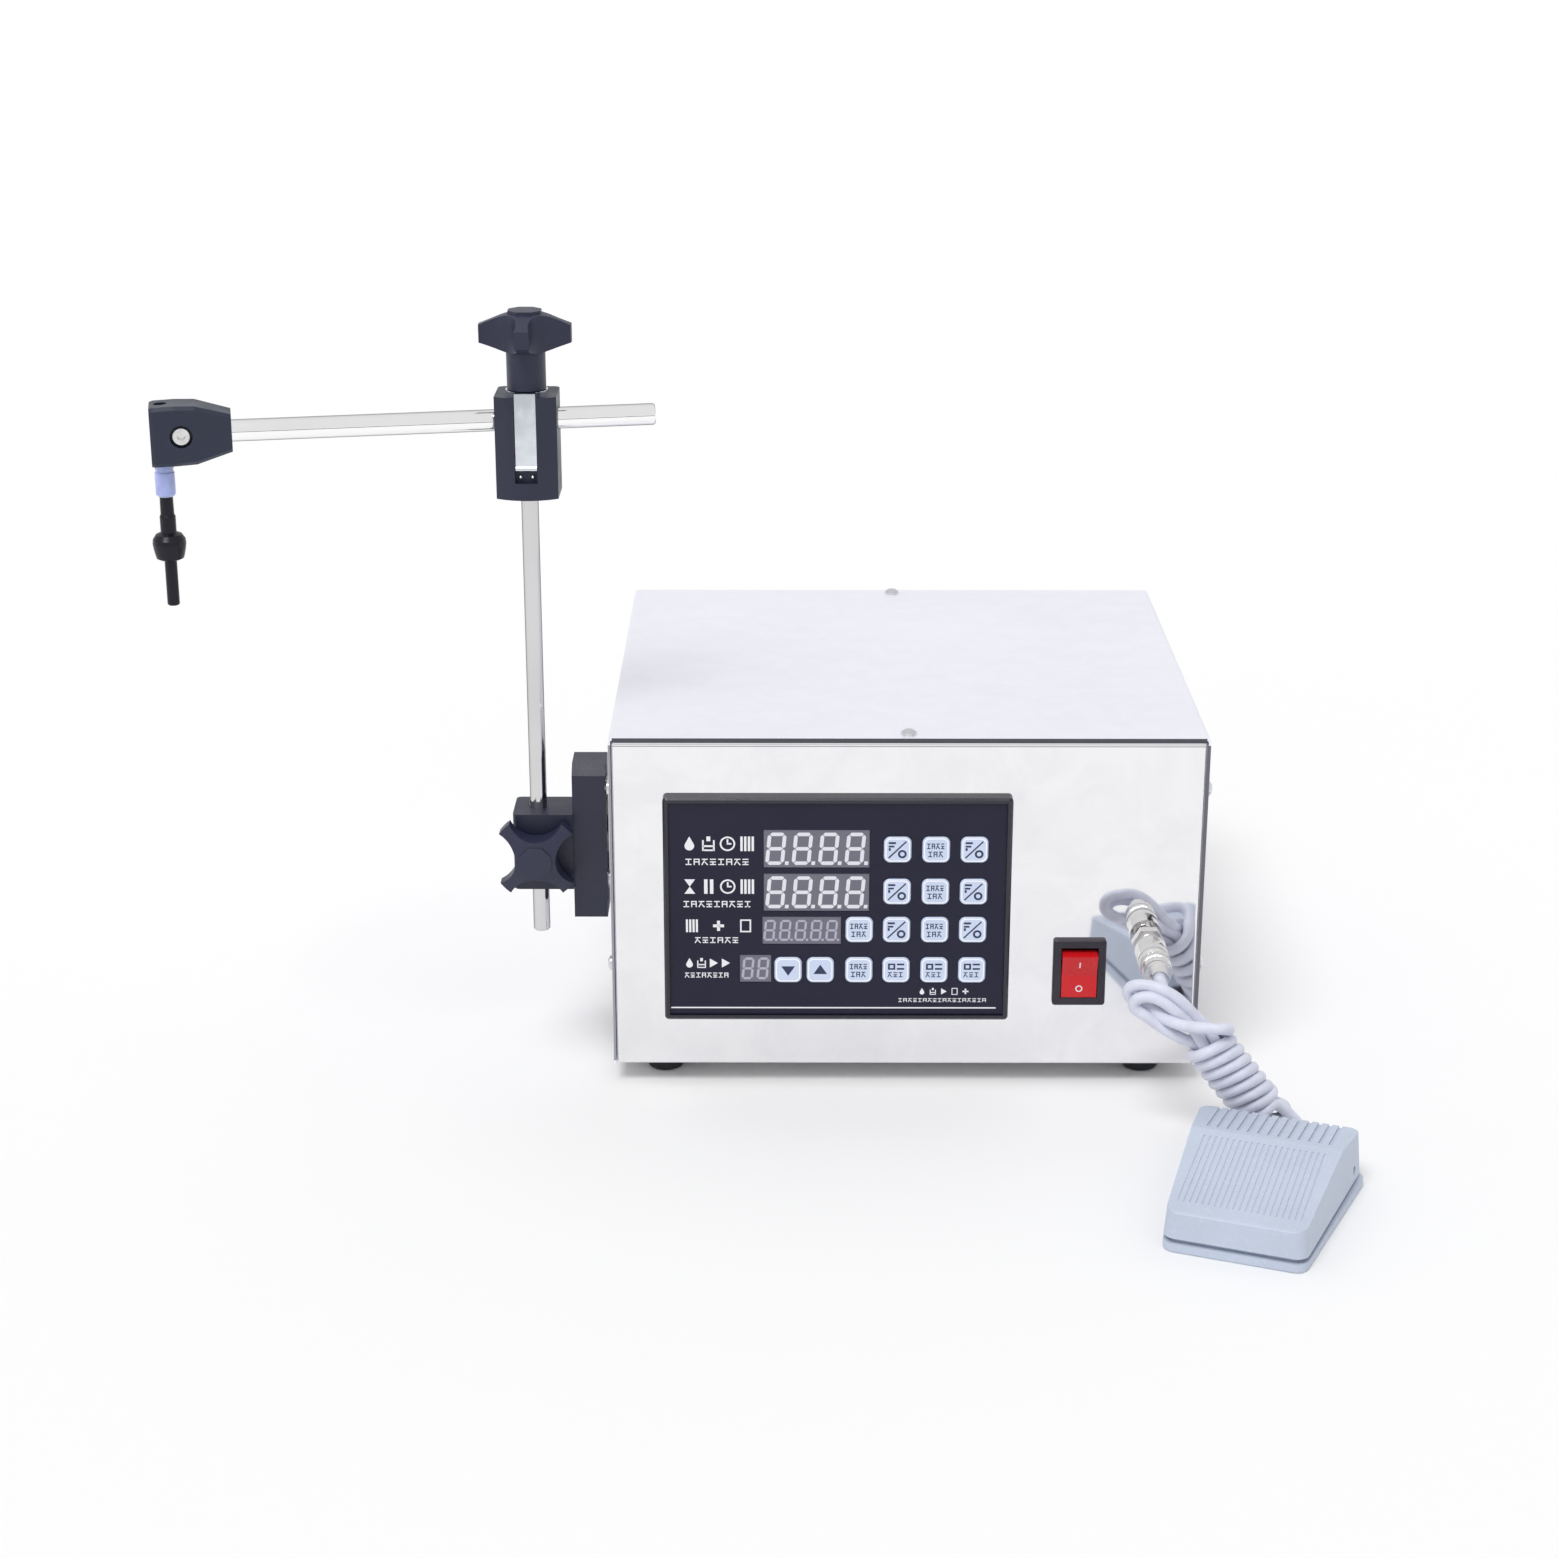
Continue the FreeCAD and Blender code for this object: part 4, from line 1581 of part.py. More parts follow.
def power_supply():
    """Switching supply: folded cage with side slots on four feet, and a terminal strip."""
    width, length, height = SUPPLY_SIZE
    low = FLOOR_TOP + SUPPLY_FOOT
    x0 = SUPPLY_X - width / 2
    y0 = SUPPLY_Y - length / 2
    cage = rounded_block(x0, x0 + width, y0, y0 + length, low, low + height, 2, BACKWARD)
    slots = []
    for index in range(9):
        y = y0 + 15 + 10 * index
        slots.append(block(x0 + 18, x0 + width - 18, y, y + 4, low + height - 2, low + height + 1))
    cage = cage.cut(slots)
    wall = SUPPLY_WALL
    cage = cage.cut(block(x0 + wall, x0 + width - wall, y0 + wall, y0 + length - wall,
                          low + wall, low + height - wall))
    middle = y0 + length / 2
    board = block(x0, x0 + width, y0, y0 + length, low + 4, low + 5.6)
    inside = [
        board,
        block(SUPPLY_X - 22, SUPPLY_X + 20, middle - 20, middle + 24, low, low + height - 6),
        block(x0 + 6, x0 + 9, y0 + 12, y0 + length - 12, low, low + height - 8),
        block(x0 + width - 16, x0 + width - 13, y0 + 12, y0 + length - 12, low, low + height - 8),
    ]
    for step in (-40, -27, 40):
        inside.append(rod(Vector(SUPPLY_X + 4, middle + step, low), UP, 6, height - 8))
    room = block(x0 + 1, x0 + width - 1, y0 + 1, y0 + length - 1, low + 1, low + height - 1)
    cage = cage.fuse([piece.common(room) for piece in inside])
    feet = []
    for x in (x0 + 10, x0 + width - 10):
        for y in (y0 + 10, y0 + length - 10):
            feet.append(rod(Vector(x, y, FLOOR_TOP), UP, 4, SUPPLY_FOOT + 1))
    strip = block(x0 + 14, x0 + width - 14, y0 - 12, y0 + 1, low, low + 14)
    return [cage.fuse(feet + [strip])]


def node_table():
    """Every node's name with its solids."""
    nodes = {
        "chassis": [chassis()],
        "top_cover": [top_cover()],
        "case_screws": case_screws(),
        "rubber_feet": rubber_feet(),
        "panel_bezel": [panel_bezel()],
        "panel_overlay": [panel_overlay()],
        "led_displays": led_displays(),
        "control_board": control_board(),
        "switch_body": [switch_body()],
        "switch_rocker": [switch_rocker()],
        "cord_socket": [cord_socket()],
        "plug_ring": [plug_ring()],
        "plug_body": [plug_body()],
        "cord_hank": [cord_hank()],
        "pedal_cord": [cord_tube(lead_route(), CORD_RADIUS).cut(cord_hank())],
        "pedal_grommet": [pedal_grommet()],
        "pedal_base": [pedal_base()],
        "pedal_treadle": [pedal_treadle()],
        "pedal_pin": [pedal_pin()],
        "pedal_spring": [pedal_spring()],
        "pedal_switch": [pedal_switch()],
        "mount_bar": [mount_bar()],
        "mount_screws": mount_screws(),
        "clamp_block": [clamp_block()],
        "star_knob": [side_knob()],
        "star_knob_stud": [side_knob_stud()],
        "post": [post()],
        "cross_clamp": [cross_clamp()],
        "clamp_strap": clamp_strap(),
        "top_knob": [top_knob()],
        "top_knob_stud": [top_knob_stud()],
        "arm_rod": [arm_rod()],
        "nozzle_holder": [nozzle_holder()],
        "holder_screw": [holder_screw()],
        "nozzle_sleeve": [nozzle_sleeve()],
        "nozzle_tip": [nozzle_tip()],
        "pump_motor": pump_motor(),
        "pump_head": pump_head(),
        "pump_drive": [pump_drive()],
        "pump_idler": [pump_idler()],
        "pump_hoses": pump_hoses(),
        "liquid_fittings": liquid_fittings(),
        "mains_inlet": [mains_inlet()],
        "power_supply": power_supply(),
    }
    for number, place in enumerate(key_places(), start=1):
        nodes["key_%02d" % number] = [key_cap(place)]
    return nodes


def write_parts():
    """Write one file per node, moved to the part's frame."""
    os.makedirs("parts", exist_ok=True)
    for name, solids in node_table().items():
        pieces = []
        for solid in solids:
            pieces.extend(solid.Solids)
        shape = Part.makeCompound(pieces)
        shape.translate(Vector(MACHINE_X, MACHINE_Y, 0))
        box = shape.BoundBox
        print(name, len(pieces), shape.isValid(), round(shape.Volume, 1),
              [round(value, 1) for value in (box.XMin, box.XMax, box.YMin, box.YMax, box.ZMin, box.ZMax)])
        shape.exportStep("parts/" + name + ".step")


write_parts()
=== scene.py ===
"""Looks of the bench liquid filling machine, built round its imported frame."""
import math

import bmesh
import bpy
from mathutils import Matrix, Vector
from mathutils.bvhtree import BVHTree


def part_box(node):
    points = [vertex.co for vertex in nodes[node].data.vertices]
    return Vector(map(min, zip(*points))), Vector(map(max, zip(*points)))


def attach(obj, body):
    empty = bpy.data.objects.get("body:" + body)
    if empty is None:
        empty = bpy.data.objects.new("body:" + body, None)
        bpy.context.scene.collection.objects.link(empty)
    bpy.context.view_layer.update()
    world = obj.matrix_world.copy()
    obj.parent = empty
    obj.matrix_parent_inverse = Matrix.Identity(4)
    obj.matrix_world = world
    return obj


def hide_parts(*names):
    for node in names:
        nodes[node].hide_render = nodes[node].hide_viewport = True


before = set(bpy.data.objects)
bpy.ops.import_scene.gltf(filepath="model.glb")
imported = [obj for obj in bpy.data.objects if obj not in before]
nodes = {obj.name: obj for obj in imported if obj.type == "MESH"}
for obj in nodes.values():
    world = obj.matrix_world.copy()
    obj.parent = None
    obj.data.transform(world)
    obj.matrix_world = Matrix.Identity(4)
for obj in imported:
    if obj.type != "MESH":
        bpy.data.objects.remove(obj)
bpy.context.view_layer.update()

# Machine frame in millimetres: x from the case's middle, y from its front face, z from the bench
shell_low, shell_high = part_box("chassis")
MIDDLE_X = (shell_low.x + shell_high.x) / 2
FRONT_Y = shell_low.y
MM = 0.001


def at(x, y, z):
    """Point of the machine frame, in metres of the row frame."""
    return Vector((MIDDLE_X + x * MM, FRONT_Y + y * MM, z * MM))


# Camera, from the perspective of the photograph
camera_data = bpy.data.cameras.new("camera")
camera_data.lens = 67.38
camera_data.sensor_width = 36.0
camera_data.clip_start = 0.05
camera_data.clip_end = 20.0
camera = bpy.data.objects.new("camera", camera_data)
camera.location = at(-56.9, -1300.4, 611.3)
camera.rotation_euler = (math.radians(90 - 19.23), 0.0, math.radians(0.194))
bpy.context.collection.objects.link(camera)
bpy.context.scene.camera = camera


class Graph:
    """Node tree of one material, with short calls to add and link nodes."""

    def __init__(self, name, color, rough, metal=0.0, specular=0.5, coat=0.0, coat_rough=0.1):
        """New material with the main values of its shader."""
        self.mat = bpy.data.materials.new(name)
        self.mat.use_nodes = True
        self.tree = self.mat.node_tree
        self.shader = self.tree.nodes["Principled BSDF"]
        self.shader.inputs["Base Color"].default_value = (*color, 1.0)
        self.shader.inputs["Roughness"].default_value = rough
        self.shader.inputs["Metallic"].default_value = metal
        self.shader.inputs["Specular IOR Level"].default_value = specular
        self.shader.inputs["Coat Weight"].default_value = coat
        self.shader.inputs["Coat Roughness"].default_value = coat_rough
        self.place = self.add("ShaderNodeTexCoord").outputs["Object"]

    def add(self, kind, **settings):
        """New node with its settings."""
        node = self.tree.nodes.new(kind)
        for key, value in settings.items():
            setattr(node, key, value)
        return node

    def link(self, source, target):
        """Join an output to an input."""
        self.tree.links.new(source, target)

    def stretched(self, scale):
        """Object coordinates scaled along the axes."""
        node = self.add("ShaderNodeMapping")
        node.inputs["Scale"].default_value = scale
        self.link(self.place, node.inputs["Vector"])
        return node.outputs["Vector"]

    def noise(self, scale, detail=4.0, roughness=0.55, stretch=None, distortion=0.0):
        """Noise value over the surface."""
        node = self.add("ShaderNodeTexNoise")
        node.inputs["Scale"].default_value = scale
        node.inputs["Detail"].default_value = detail
        node.inputs["Roughness"].default_value = roughness
        node.inputs["Distortion"].default_value = distortion
        vector = self.stretched(stretch) if stretch else self.place
        self.link(vector, node.inputs["Vector"])
        return node.outputs["Fac"]

    def band(self, value, low, high, to_low=0.0, to_high=1.0):
        """Map a value from one range to another, clamped."""
        node = self.add("ShaderNodeMapRange")
        node.inputs["From Min"].default_value = low
        node.inputs["From Max"].default_value = high
        node.inputs["To Min"].default_value = to_low
        node.inputs["To Max"].default_value = to_high
        self.link(value, node.inputs["Value"])
        return node.outputs["Result"]

    def mix(self, share, first, second):
        """Mix of two colours or colour outputs by the value of an output."""
        node = self.add("ShaderNodeMix", data_type="RGBA")
        for value, name in ((first, "A"), (second, "B")):
            socket = [s for s in node.inputs if s.name == name and s.type == "RGBA"][0]
            if isinstance(value, tuple):
                socket.default_value = (*value, 1.0)
            else:
                self.link(value, socket)
        factor = [s for s in node.inputs if s.name == "Factor" and s.type == "VALUE"][0]
        self.link(share, factor)
        return [s for s in node.outputs if s.type == "RGBA"][0]

    def paint(self, value):
        """Colour output to the shader."""
        self.link(value, self.shader.inputs["Base Color"])

    def roughen(self, value):
        """Roughness output to the shader."""
        self.link(value, self.shader.inputs["Roughness"])

    def bump(self, value, strength, distance):
        """Bump from a height value."""
        node = self.add("ShaderNodeBump")
        node.inputs["Strength"].default_value = strength
        node.inputs["Distance"].default_value = distance
        self.link(value, node.inputs["Height"])
        self.link(node.outputs["Normal"], self.shader.inputs["Normal"])


def shade(color, factor):
    """Colour made lighter or darker."""
    return tuple(min(1.0, max(0.0, channel * factor)) for channel in color)


def moulded(name, color, rough=0.42, vary=0.1, grain=900.0, depth=0.00012, coat=0.0, specular=0.5):
    """Moulded plastic: faint colour drift, fine spark-eroded grain and uneven gloss."""
    g = Graph(name, color, rough, coat=coat, coat_rough=0.25, specular=specular)
    drift = g.noise(14.0, 3.0)
    g.paint(g.mix(g.band(drift, 0.3, 0.7), shade(color, 1 - vary), shade(color, 1 + vary)))
    g.roughen(g.band(g.noise(45.0, 5.0), 0.3, 0.7, rough - 0.06, rough + 0.1))
    g.bump(g.noise(grain, 2.0), 0.35, depth)
    return g.mat


def rubbery(name, color, rough=0.62):
    """Rubber or soft vinyl with a dusty bloom."""
    g = Graph(name, color, rough, specular=0.35)
    g.shader.inputs["Sheen Weight"].default_value = 0.12
    dust = g.noise(70.0, 6.0)
    g.paint(g.mix(g.band(dust, 0.35, 0.75), color, shade(color, 1.25)))
    g.roughen(g.band(dust, 0.3, 0.7, rough - 0.08, rough + 0.08))
    g.bump(g.noise(1500.0, 2.0), 0.25, 0.00008)
    return g.mat


def polished(name, color, rough=0.06, streaks=(1.0, 1.0, 1.0), vary=0.04, edge=1.0):
    """Polished or ground metal with faint streaks in its gloss, darker at grazing angles if asked."""
    g = Graph(name, color, rough, metal=1.0)
    g.shader.inputs["Specular Tint"].default_value = (edge, edge, edge, 1.0)
    lines = g.noise(220.0, 3.0, stretch=streaks)
    g.roughen(g.band(lines, 0.3, 0.7, max(0.02, rough - 0.03), rough + 0.06))
    cloud = g.noise(22.0, 5.0)
    g.paint(g.mix(g.band(cloud, 0.3, 0.7), shade(color, 1 - vary), shade(color, 1 + vary)))
    return g.mat


def mirror_sheet():
    """Stainless front and rear: mirror finish, faintly wavy, with cloudy film stains."""
    color = (0.90, 0.895, 0.91)
    g = Graph("mirror_sheet", color, 0.03, metal=1.0)
    stain = g.noise(26.0, 9.0, 0.68, distortion=0.7)
    patch = g.noise(7.0, 4.0, 0.5)
    cloudy = g.band(stain, 0.42, 0.72)
    g.paint(g.mix(cloudy, color, (0.83, 0.83, 0.85)))
    g.roughen(g.band(patch, 0.35, 0.7, 0.02, 0.06))
    wave = g.noise(9.0, 1.0)
    g.bump(wave, 0.06, 0.0012)
    return g.mat


def satin_sheet():
    """Stainless cover: soft satin that scatters, with a fine mottle."""
    color = (0.90, 0.90, 0.97)
    g = Graph("satin_sheet", color, 0.38, metal=0.4)
    mottle = g.noise(55.0, 8.0, 0.7, distortion=0.5)
    large = g.noise(9.0, 3.0)
    base = g.mix(g.band(mottle, 0.35, 0.75), color, (0.85, 0.85, 0.92))
    g.paint(g.mix(g.band(large, 0.35, 0.75, 0.0, 0.5), base, (0.94, 0.94, 0.99)))
    g.roughen(g.band(mottle, 0.3, 0.7, 0.32, 0.46))
    g.bump(g.noise(700.0, 2.0, stretch=(1.0, 0.15, 1.0)), 0.08, 0.00006)
    return g.mat


def circuit_board():
    """Green solder mask with copper tracks and pale silk squares."""
    color = (0.02, 0.16, 0.07)
    g = Graph("circuit_board", color, 0.35, coat=0.3)
    grid = g.add("ShaderNodeTexBrick")
    grid.inputs["Scale"].default_value = 160.0
    grid.inputs["Mortar Size"].default_value = 0.03
    grid.inputs["Color1"].default_value = (0.02, 0.15, 0.07, 1)
    grid.inputs["Color2"].default_value = (0.03, 0.20, 0.09, 1)
    grid.inputs["Mortar"].default_value = (0.12, 0.30, 0.10, 1)
    g.link(g.stretched((1.0, 0.0, 1.0)), grid.inputs["Vector"])
    g.paint(grid.outputs["Color"])
    g.bump(grid.outputs["Fac"], 0.2, 0.00005)
    return g.mat


def knurled(name, color):
    """Nickel-plated brass, cleanly turned, with fine machining rings along Y."""
    g = Graph(name, color, 0.12, metal=1.0)
    rings = g.add("ShaderNodeTexWave", wave_type="BANDS", bands_direction="Y")
    rings.inputs["Scale"].default_value = 400.0
    rings.inputs["Distortion"].default_value = 0.4
    g.link(g.place, rings.inputs["Vector"])
    g.roughen(g.band(rings.outputs["Fac"], 0.0, 1.0, 0.12, 0.28))
    g.bump(rings.outputs["Fac"], 0.1, 0.00004)
    g.paint(g.mix(g.band(g.noise(60.0), 0.3, 0.7), color, shade(color, 0.88)))
    return g.mat


def led_window():
    """Grey display face with a soft moulded grain."""
    return moulded("led_window", (0.14, 0.135, 0.18), 0.30, 0.05, 1200.0, 0.00004, coat=0.3)


def pedal_plastic():
    """Grey-blue pedal moulding: powdery speckle, colour drift and fine grain."""
    color = (0.50, 0.56, 0.67)
    g = Graph("pedal_plastic", color, 0.5)
    speck = g.noise(420.0, 3.0, 0.7)
    drift = g.noise(18.0, 4.0)
    base = g.mix(g.band(drift, 0.3, 0.7), shade(color, 0.95), shade(color, 1.06))
    g.paint(g.mix(g.band(speck, 0.55, 0.75, 0.0, 0.45), base, shade(color, 1.22)))
    g.roughen(g.band(drift, 0.3, 0.7, 0.42, 0.56))
    g.bump(speck, 0.35, 0.00012)
    return g.mat


def cord_vinyl():
    """Grey cord jacket with faint scuffs and a fine grain."""
    color = (0.62, 0.64, 0.74)
    g = Graph("cord_vinyl", color, 0.42)
    g.shader.inputs["Sheen Weight"].default_value = 0.08
    scuff = g.noise(160.0, 5.0)
    g.paint(g.mix(g.band(scuff, 0.4, 0.75), color, shade(color, 1.15)))
    g.roughen(g.band(scuff, 0.3, 0.7, 0.4, 0.54))
    g.bump(g.noise(2200.0, 1.0), 0.15, 0.00005)
    return g.mat


def milky(name, color):
    """Translucent tube: tinted, scattering inside and glossy outside."""
    g = Graph(name, color, 0.22, coat=0.4)
    g.shader.inputs["Subsurface Weight"].default_value = 0.6
    g.shader.inputs["Subsurface Radius"].default_value = (0.4, 0.6, 1.0)
    g.shader.inputs["Subsurface Scale"].default_value = 0.004
    cloud = g.noise(120.0, 3.0)
    g.paint(g.mix(g.band(cloud, 0.3, 0.7), color, shade(color, 1.3)))
    g.bump(g.noise(500.0), 0.1, 0.0001)
    return g.mat


MATERIALS = {
    "chassis": mirror_sheet(),
    "top_cover": satin_sheet(),
    "case_screws": polished("screw_zinc", (0.70, 0.71, 0.73), 0.18),
    "rubber_feet": rubbery("foot_rubber", (0.012, 0.013, 0.018)),
    "panel_bezel": moulded("bezel_black", (0.008, 0.008, 0.020), 0.28, coat=0.25),
    "panel_overlay": moulded("overlay_film", (0.010, 0.010, 0.030), 0.40, depth=0.00005, specular=0.3),
    "led_displays": led_window(),
    "control_board": circuit_board(),
    "switch_body": moulded("switch_black", (0.018, 0.013, 0.024), 0.3),
    "switch_rocker": moulded("rocker_red", (0.60, 0.008, 0.012), 0.26, 0.05, specular=0.35, coat=0.15),
    "cord_socket": knurled("socket_nickel", (0.93, 0.92, 0.91)),
    "plug_ring": knurled("ring_nickel", (0.96, 0.95, 0.94)),
    "plug_body": knurled("plug_nickel", (0.95, 0.94, 0.93)),
    "pedal_grommet": rubbery("grommet_rubber", (0.30, 0.33, 0.38)),
    "pedal_pin": polished("pin_steel", (0.72, 0.72, 0.74)),
    "pedal_spring": polished("spring_steel", (0.60, 0.60, 0.62), 0.15),
    "pedal_switch": moulded("snap_switch", (0.02, 0.02, 0.025)),
    "mount_bar": moulded("bar_black", (0.014, 0.015, 0.038), 0.38, depth=0.0002),
    "mount_screws": polished("mount_zinc", (0.66, 0.67, 0.69), 0.2),
    "clamp_block": moulded("block_black", (0.014, 0.016, 0.040), 0.40, depth=0.0002),
    "star_knob": moulded("knob_black", (0.018, 0.020, 0.050), 0.40),
    "star_knob_stud": polished("stud_zinc", (0.66, 0.67, 0.69), 0.2),
    "post": polished("post_steel", (0.66, 0.655, 0.66), 0.05, (1.0, 1.0, 0.05), edge=0.12),
    "cross_clamp": moulded("clamp_black", (0.014, 0.016, 0.040), 0.40, depth=0.0002),
    "clamp_strap": polished("strap_zinc", (0.74, 0.78, 0.83), 0.12),
    "top_knob": moulded("top_knob_black", (0.018, 0.020, 0.050), 0.40),
    "top_knob_stud": polished("top_stud_zinc", (0.66, 0.67, 0.69), 0.2),
    "arm_rod": polished("arm_steel", (0.99, 0.99, 0.99), 0.05, (0.05, 1.0, 1.0), edge=0.12),
    "nozzle_holder": moulded("holder_black", (0.014, 0.020, 0.045), 0.40),
    "holder_screw": polished("holder_zinc", (0.80, 0.80, 0.80), 0.12),
    "nozzle_sleeve": milky("sleeve_blue", (0.33, 0.38, 0.66)),
    "nozzle_tip": moulded("tip_black", (0.008, 0.007, 0.014), 0.34, specular=0.3),
    "pump_motor": moulded("motor_paint", (0.05, 0.055, 0.065), 0.35),
    "pump_head": polished("pump_brass", (0.80, 0.62, 0.32), 0.22),
    "pump_drive": polished("gear_steel", (0.6, 0.6, 0.62), 0.25),
    "pump_idler": polished("idler_steel", (0.6, 0.6, 0.62), 0.25),
    "pump_hoses": milky("silicone", (0.78, 0.78, 0.76)),
    "liquid_fittings": polished("fitting_nickel", (0.74, 0.73, 0.70), 0.15),
    "mains_inlet": moulded("inlet_black", (0.012, 0.012, 0.014), 0.4),
    "power_supply": polished("supply_cage", (0.66, 0.67, 0.69), 0.3),
}
PEDAL_PLASTIC = pedal_plastic()
KEY_PLASTIC = moulded("key_grey", (0.60, 0.68, 0.86), 0.36, 0.04)
CORD_VINYL = cord_vinyl()
MATERIALS["pedal_base"] = PEDAL_PLASTIC
MATERIALS["pedal_treadle"] = PEDAL_PLASTIC
MATERIALS["cord_hank"] = CORD_VINYL
MATERIALS["pedal_cord"] = CORD_VINYL
for name, node in nodes.items():
    for part_slot in node.material_slots:
        part_slot.material = MATERIALS.get(name, KEY_PLASTIC)


# Cord, wound hank and lead, in millimetres of the machine frame
SOCKET_X = 116.5
SOCKET_Z = 74.5
CORD_D = 5.5
PLUG_TAIL = (SOCKET_X, -46.0, SOCKET_Z)
# Bent axis of the wound part, and the camera's view, to which its strands are laid out
WOUND_TOP = Vector((136.5, -67.0, 52.8))
WOUND_CORNER = Vector((166.0, -58.5, 13.0))
WOUND_END = Vector((184.0, -57.5, 12.8))
VIEW = Vector((0.0, 0.944, -0.329))
# Inner strands that touch each other, and the slanting turns round them
STRAND = CORD_D / 2
WRAP_RADIUS = 9.4
WRAP_TURNS = 8
WRAP_LENGTH = 50.5
WRAP_LEAN = 0.55
WRAP_SLOPE = 0.2
TURN_POINTS = 12
CORE_LENGTH = 52.0
# Half of an inner strand's far turn: distance past the strands' end, and place across per half spacing
FAR_TURN = ((-2.0, 1.1), (3.0, 1.6), (7.5, 1.0))
# Share of the wound part's last leg that the arc of its axis takes
ARC_SHARE = 0.45


def wound_axis():
    """Finder of a place and a direction along the wound part's bent axis."""
    into = (WOUND_CORNER - WOUND_TOP).normalized()
    out = (WOUND_END - WOUND_CORNER).normalized()
    trim = ARC_SHARE * (WOUND_END - WOUND_CORNER).length
    bend = into.angle(out)
    radius = trim / math.tan(bend / 2)
    first = WOUND_CORNER - into * trim
    last = WOUND_CORNER + out * trim
    inward = (out - into * into.dot(out)).normalized()
    hub = first + inward * radius
    straight = (first - WOUND_TOP).length

    def find(distance):
        """Place and direction at a distance along the axis."""
        if distance < straight:
            return WOUND_TOP + into * distance, into
        share = (distance - straight) / (radius * bend)
        if share > 1.0:
            return last + out * (share - 1.0) * radius * bend, out
        turned_by = into.slerp(out, share)
        return hub + (into * inward.dot(turned_by) - inward * into.dot(turned_by)) * radius, turned_by

    return find


def hank_points():
    """Control points of the cord from the plug through the loops and turns to the pedal."""
    find = wound_axis()

    def inside(distance, across, toward):
        """Point beside the wound axis: across the picture upwards, and toward the camera."""
        centre, along = find(distance)
        near = (along * along.dot(VIEW) - VIEW).normalized()
        return centre + near.cross(along) * across + near * toward

    def run(distances, across, toward):
        """Points of one straight strand."""
        return [inside(distance, across, toward) for distance in distances]

    down = (2, 12, 22, 32, 40, CORE_LENGTH - 5)
    up = tuple(reversed(down))

    def far_turn(toward):
        """Tight turn at the far end of the inner strands, on their near or far layer."""
        out = [inside(CORE_LENGTH + past, -toward * share, toward) for past, share in FAR_TURN]
        back = [inside(CORE_LENGTH + past, toward * share, toward) for past, share in reversed(FAR_TURN)]
        return out + back

    points = [Vector(place) for place in (
        PLUG_TAIL,
        (116.6, -50.5, 74.3),
        (118.8, -54.5, 70.2),
        (124.5, -57.5, 63.0),
        (131.0, -61.5, 57.2),
    )]
    points += run(down, STRAND, -STRAND)
    points += far_turn(-STRAND)
    points += run(up, -STRAND, -STRAND)
    # Lower loop towards the plug
    points += [Vector(place) for place in (
        (125.8, -64.0, 52.7),
        (118.0, -62.0, 56.3),
        (110.8, -61.0, 61.5),
        (105.9, -60.0, 64.5),
        (103.5, -60.0, 66.3),
        (102.9, -60.0, 69.3),
        (105.3, -60.5, 72.0),
        (110.9, -61.0, 72.9),
        (117.3, -63.0, 70.4),
        (124.3, -63.0, 64.3),
        (130.8, -64.0, 57.9),
    )]
    points += run(down, -STRAND, STRAND)
    points += far_turn(STRAND)
    points += run(up, STRAND, STRAND)
    # Upper loop, whose end crosses over to the first turn
    points += [Vector(place) for place in (
        (138.0, -62.5, 56.6),
        (130.8, -61.5, 63.9),
        (122.9, -61.5, 72.5),
        (114.9, -60.0, 76.5),
        (108.3, -57.0, 76.8),
        (103.8, -56.0, 76.4),
        (101.0, -54.5, 74.2),
        (100.9, -53.7, 70.6),
        (103.2, -53.5, 67.7),
        (107.0, -53.5, 65.7),
        (112.3, -57.0, 64.0),
        (117.6, -63.5, 62.4),
        (124.2, -69.0, 61.7),
        (130.5, -73.0, 62.5),
        (137.6, -75.5, 62.9),
        (143.4, -75.5, 62.9),
        (146.4, -71.0, 60.4),
    )]
    # Oblique turns round the inner strands
    steps = TURN_POINTS * WRAP_TURNS - 2
    radius = WRAP_RADIUS / math.cos(math.pi / TURN_POINTS)
    for step in range(steps + 1):
        turn = math.radians(90 + 360 * step / TURN_POINTS)
        across = radius * math.sin(turn)
        toward = radius * math.cos(turn)
        distance = WRAP_LENGTH * step / steps + WRAP_SLOPE * across - WRAP_LEAN * toward
        points.append(inside(distance, across, toward))
    # Lead down to the table and into the grommet
    points += [Vector(place) for place in (
        (175.3, -63.0, 16.5),
        (181.4, -62.0, 9.7),
        (187.0, -67.0, 3.2),
        (190.2, -76.5, 4.4),
        (191.2, -85.0, 9.6),
        (189.26, -92.1, 9.9),
    )]
    return points


def nurbs_curve(name, points, diameter, material):
    """One open smooth curve through its control points, given round thickness."""
    curve = bpy.data.curves.new(name, "CURVE")
    curve.dimensions = "3D"
    spline = curve.splines.new("NURBS")
    spline.points.add(len(points) - 1)
    for point, place in zip(spline.points, points):
        point.co = (*place, 1.0)
    spline.order_u = 3
    spline.use_endpoint_u = True
    spline.resolution_u = 5
    curve.bevel_depth = diameter / 2
    curve.bevel_resolution = 5
    curve.use_fill_caps = True
    curve.materials.append(material)
    piece = bpy.data.objects.new(name, curve)
    bpy.context.collection.objects.link(piece)
    return piece


def line_length(piece):
    """Length of a curve's centreline, in metres."""
    copy = piece.copy()
    copy.data = piece.data.copy()
    copy.data.bevel_depth = 0.0
    bpy.context.collection.objects.link(copy)
    mesh = bpy.data.meshes.new_from_object(copy)
    total = 0.0
    for edge in mesh.edges:
        first, second = edge.vertices
        total += (mesh.vertices[first].co - mesh.vertices[second].co).length
    bpy.data.objects.remove(copy)
    return total


